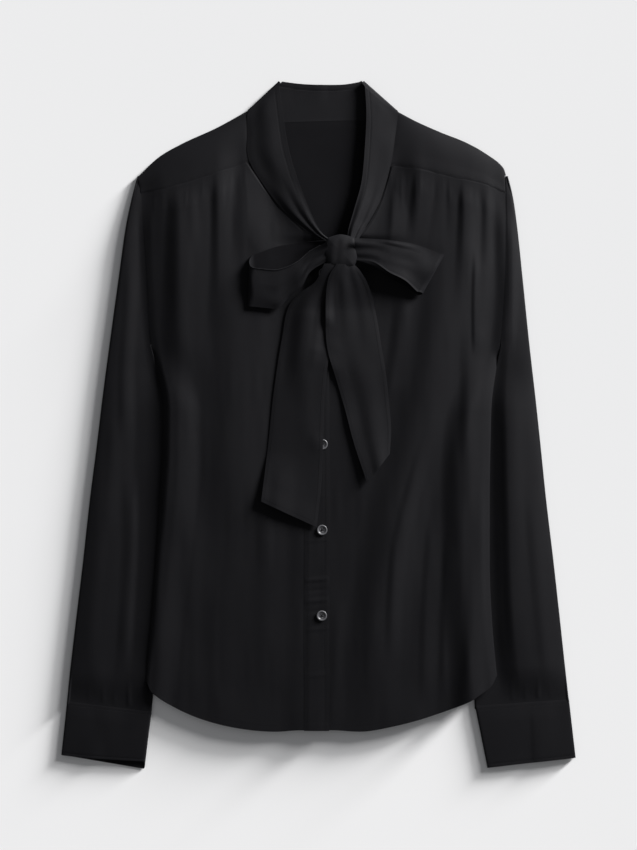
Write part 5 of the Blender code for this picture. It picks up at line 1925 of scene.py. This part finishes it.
def tail_stitches(side):
    grid = TAILS[side]
    rows = np.arange(20, TAIL_ROWS - 4)
    left = inset_columns(grid, rows, RIBBON_INSET, from_last=False)
    right = inset_columns(grid, rows, RIBBON_INSET)
    across = np.arange(3, TAIL_COLUMNS - 3)
    end = TAIL_ROWS - 3.8
    return [
        lifted(grid, rows, left, RIBBON_WALL),
        lifted(grid, rows, right, RIBBON_WALL),
        lifted(grid, np.full(len(across), end), across, RIBBON_WALL),
    ]


def mouth_line():
    grid = LOOPS["left"]
    rows = np.arange(SHADED_LOOP_ROWS, len(grid) - 8)
    return lifted(grid, rows, np.full(len(rows), grid.shape[1] - 1.3), RIBBON_WALL)


# Pale crepe for a row of beads along the mouth of the left loop: a painted highlight on its rolled edge.
HIGHLIGHT_CREPE = crepe(
    "black crepe, painted highlight", (0.032, 0.032, 0.036), (0.038, 0.038, 0.043), 0.5, 0.05, THREAD_RELIEF,
)
stitch_rows("loop_left_mouth_highlight", [mouth_line()], step=0.0012, thread=0.00028, finish=HIGHLIGHT_CREPE)
stitch_rows("collar_stitches", collar_stitches())
stitch_rows("placket_stitches", placket_stitches())
stitch_rows("hem_stitches", [hem_stitches("left"), hem_stitches("right")])
for side in ("left", "right"):
    stitch_rows(f"cuff_{side}_stitches", cuff_stitches(side))
    stitch_rows(f"tail_{side}_stitches", tail_stitches(side))

# %% [markdown]
# ## What each piece stands for
#
# Every shell replaces its own solid and rides on the one body. For each sheet the flat width and
# length of the cloth that shows, all round on a tube, is measured from its grid.

Role = namedtuple("Role", "node held rests_on")
ROLES = {
    "back_shell": Role("back", "laid", ["sleeve_left_shell", "sleeve_right_shell"]),
    "yoke_shell": Role("yoke", "folded", ["front_left_shell", "front_right_shell"]),
    "front_left_shell": Role("front_left", "gathered", ["back_shell"]),
    "front_right_shell": Role("front_right", "gathered", ["back_shell"]),
    "placket_shell": Role("placket", "laid", ["front_left_shell"]),
    "collar_shell": Role("collar", "folded", ["yoke_shell", "front_left_shell"]),
    "sleeve_left_shell": Role("sleeve_left", "laid", ["ground"]),
    "sleeve_right_shell": Role("sleeve_right", "laid", ["ground"]),
    "cuff_left_shell": Role("cuff_left", "laid", ["ground"]),
    "cuff_right_shell": Role("cuff_right", "laid", ["ground"]),
    "tail_left_shell": Role("tail_left", "laid", ["front_left_shell", "placket_shell"]),
    "tail_right_shell": Role("tail_right", "laid", ["front_right_shell", "placket_shell"]),
    "loop_left_shell": Role("loop_left", "folded", ["front_left_shell"]),
    "loop_right_shell": Role("loop_right", "folded", ["front_right_shell"]),
}
GRIDS = {
    "back_shell": BACK,
    "yoke_shell": YOKE_BACK,
    "front_left_shell": FRONT_LEFT,
    "front_right_shell": FRONT_RIGHT,
    "placket_shell": PLACKET,
    "collar_shell": COLLAR,
}
for kind, pair in (("sleeve", SLEEVES), ("cuff", CUFF_GRIDS), ("tail", TAILS), ("loop", LOOPS)):
    GRIDS.update({f"{kind}_{side}_shell": grid for side, grid in pair.items()})


def flat_size(name):
    """The flat width and length that the grid's own lines measure, in metres."""
    ring = name.startswith(("sleeve", "cuff"))
    cut = cut_map(GRIDS[name], ring)
    width = float(cut[..., 0].max())
    length = float(cut[..., 1].max())
    if name == "yoke_shell":
        length += float(cut_map(YOKE_LEFT, False)[..., 1].max())
    return width, length


for name, role in ROLES.items():
    piece = MADE[name]
    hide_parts(role.node)
    width, length = flat_size(name)
    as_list(role.rests_on)

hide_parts("tie_knot")
for number in BUTTON_PLACES:
    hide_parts(f"button_{number}")
for name, piece in MADE.items():
    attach(piece, BODY)
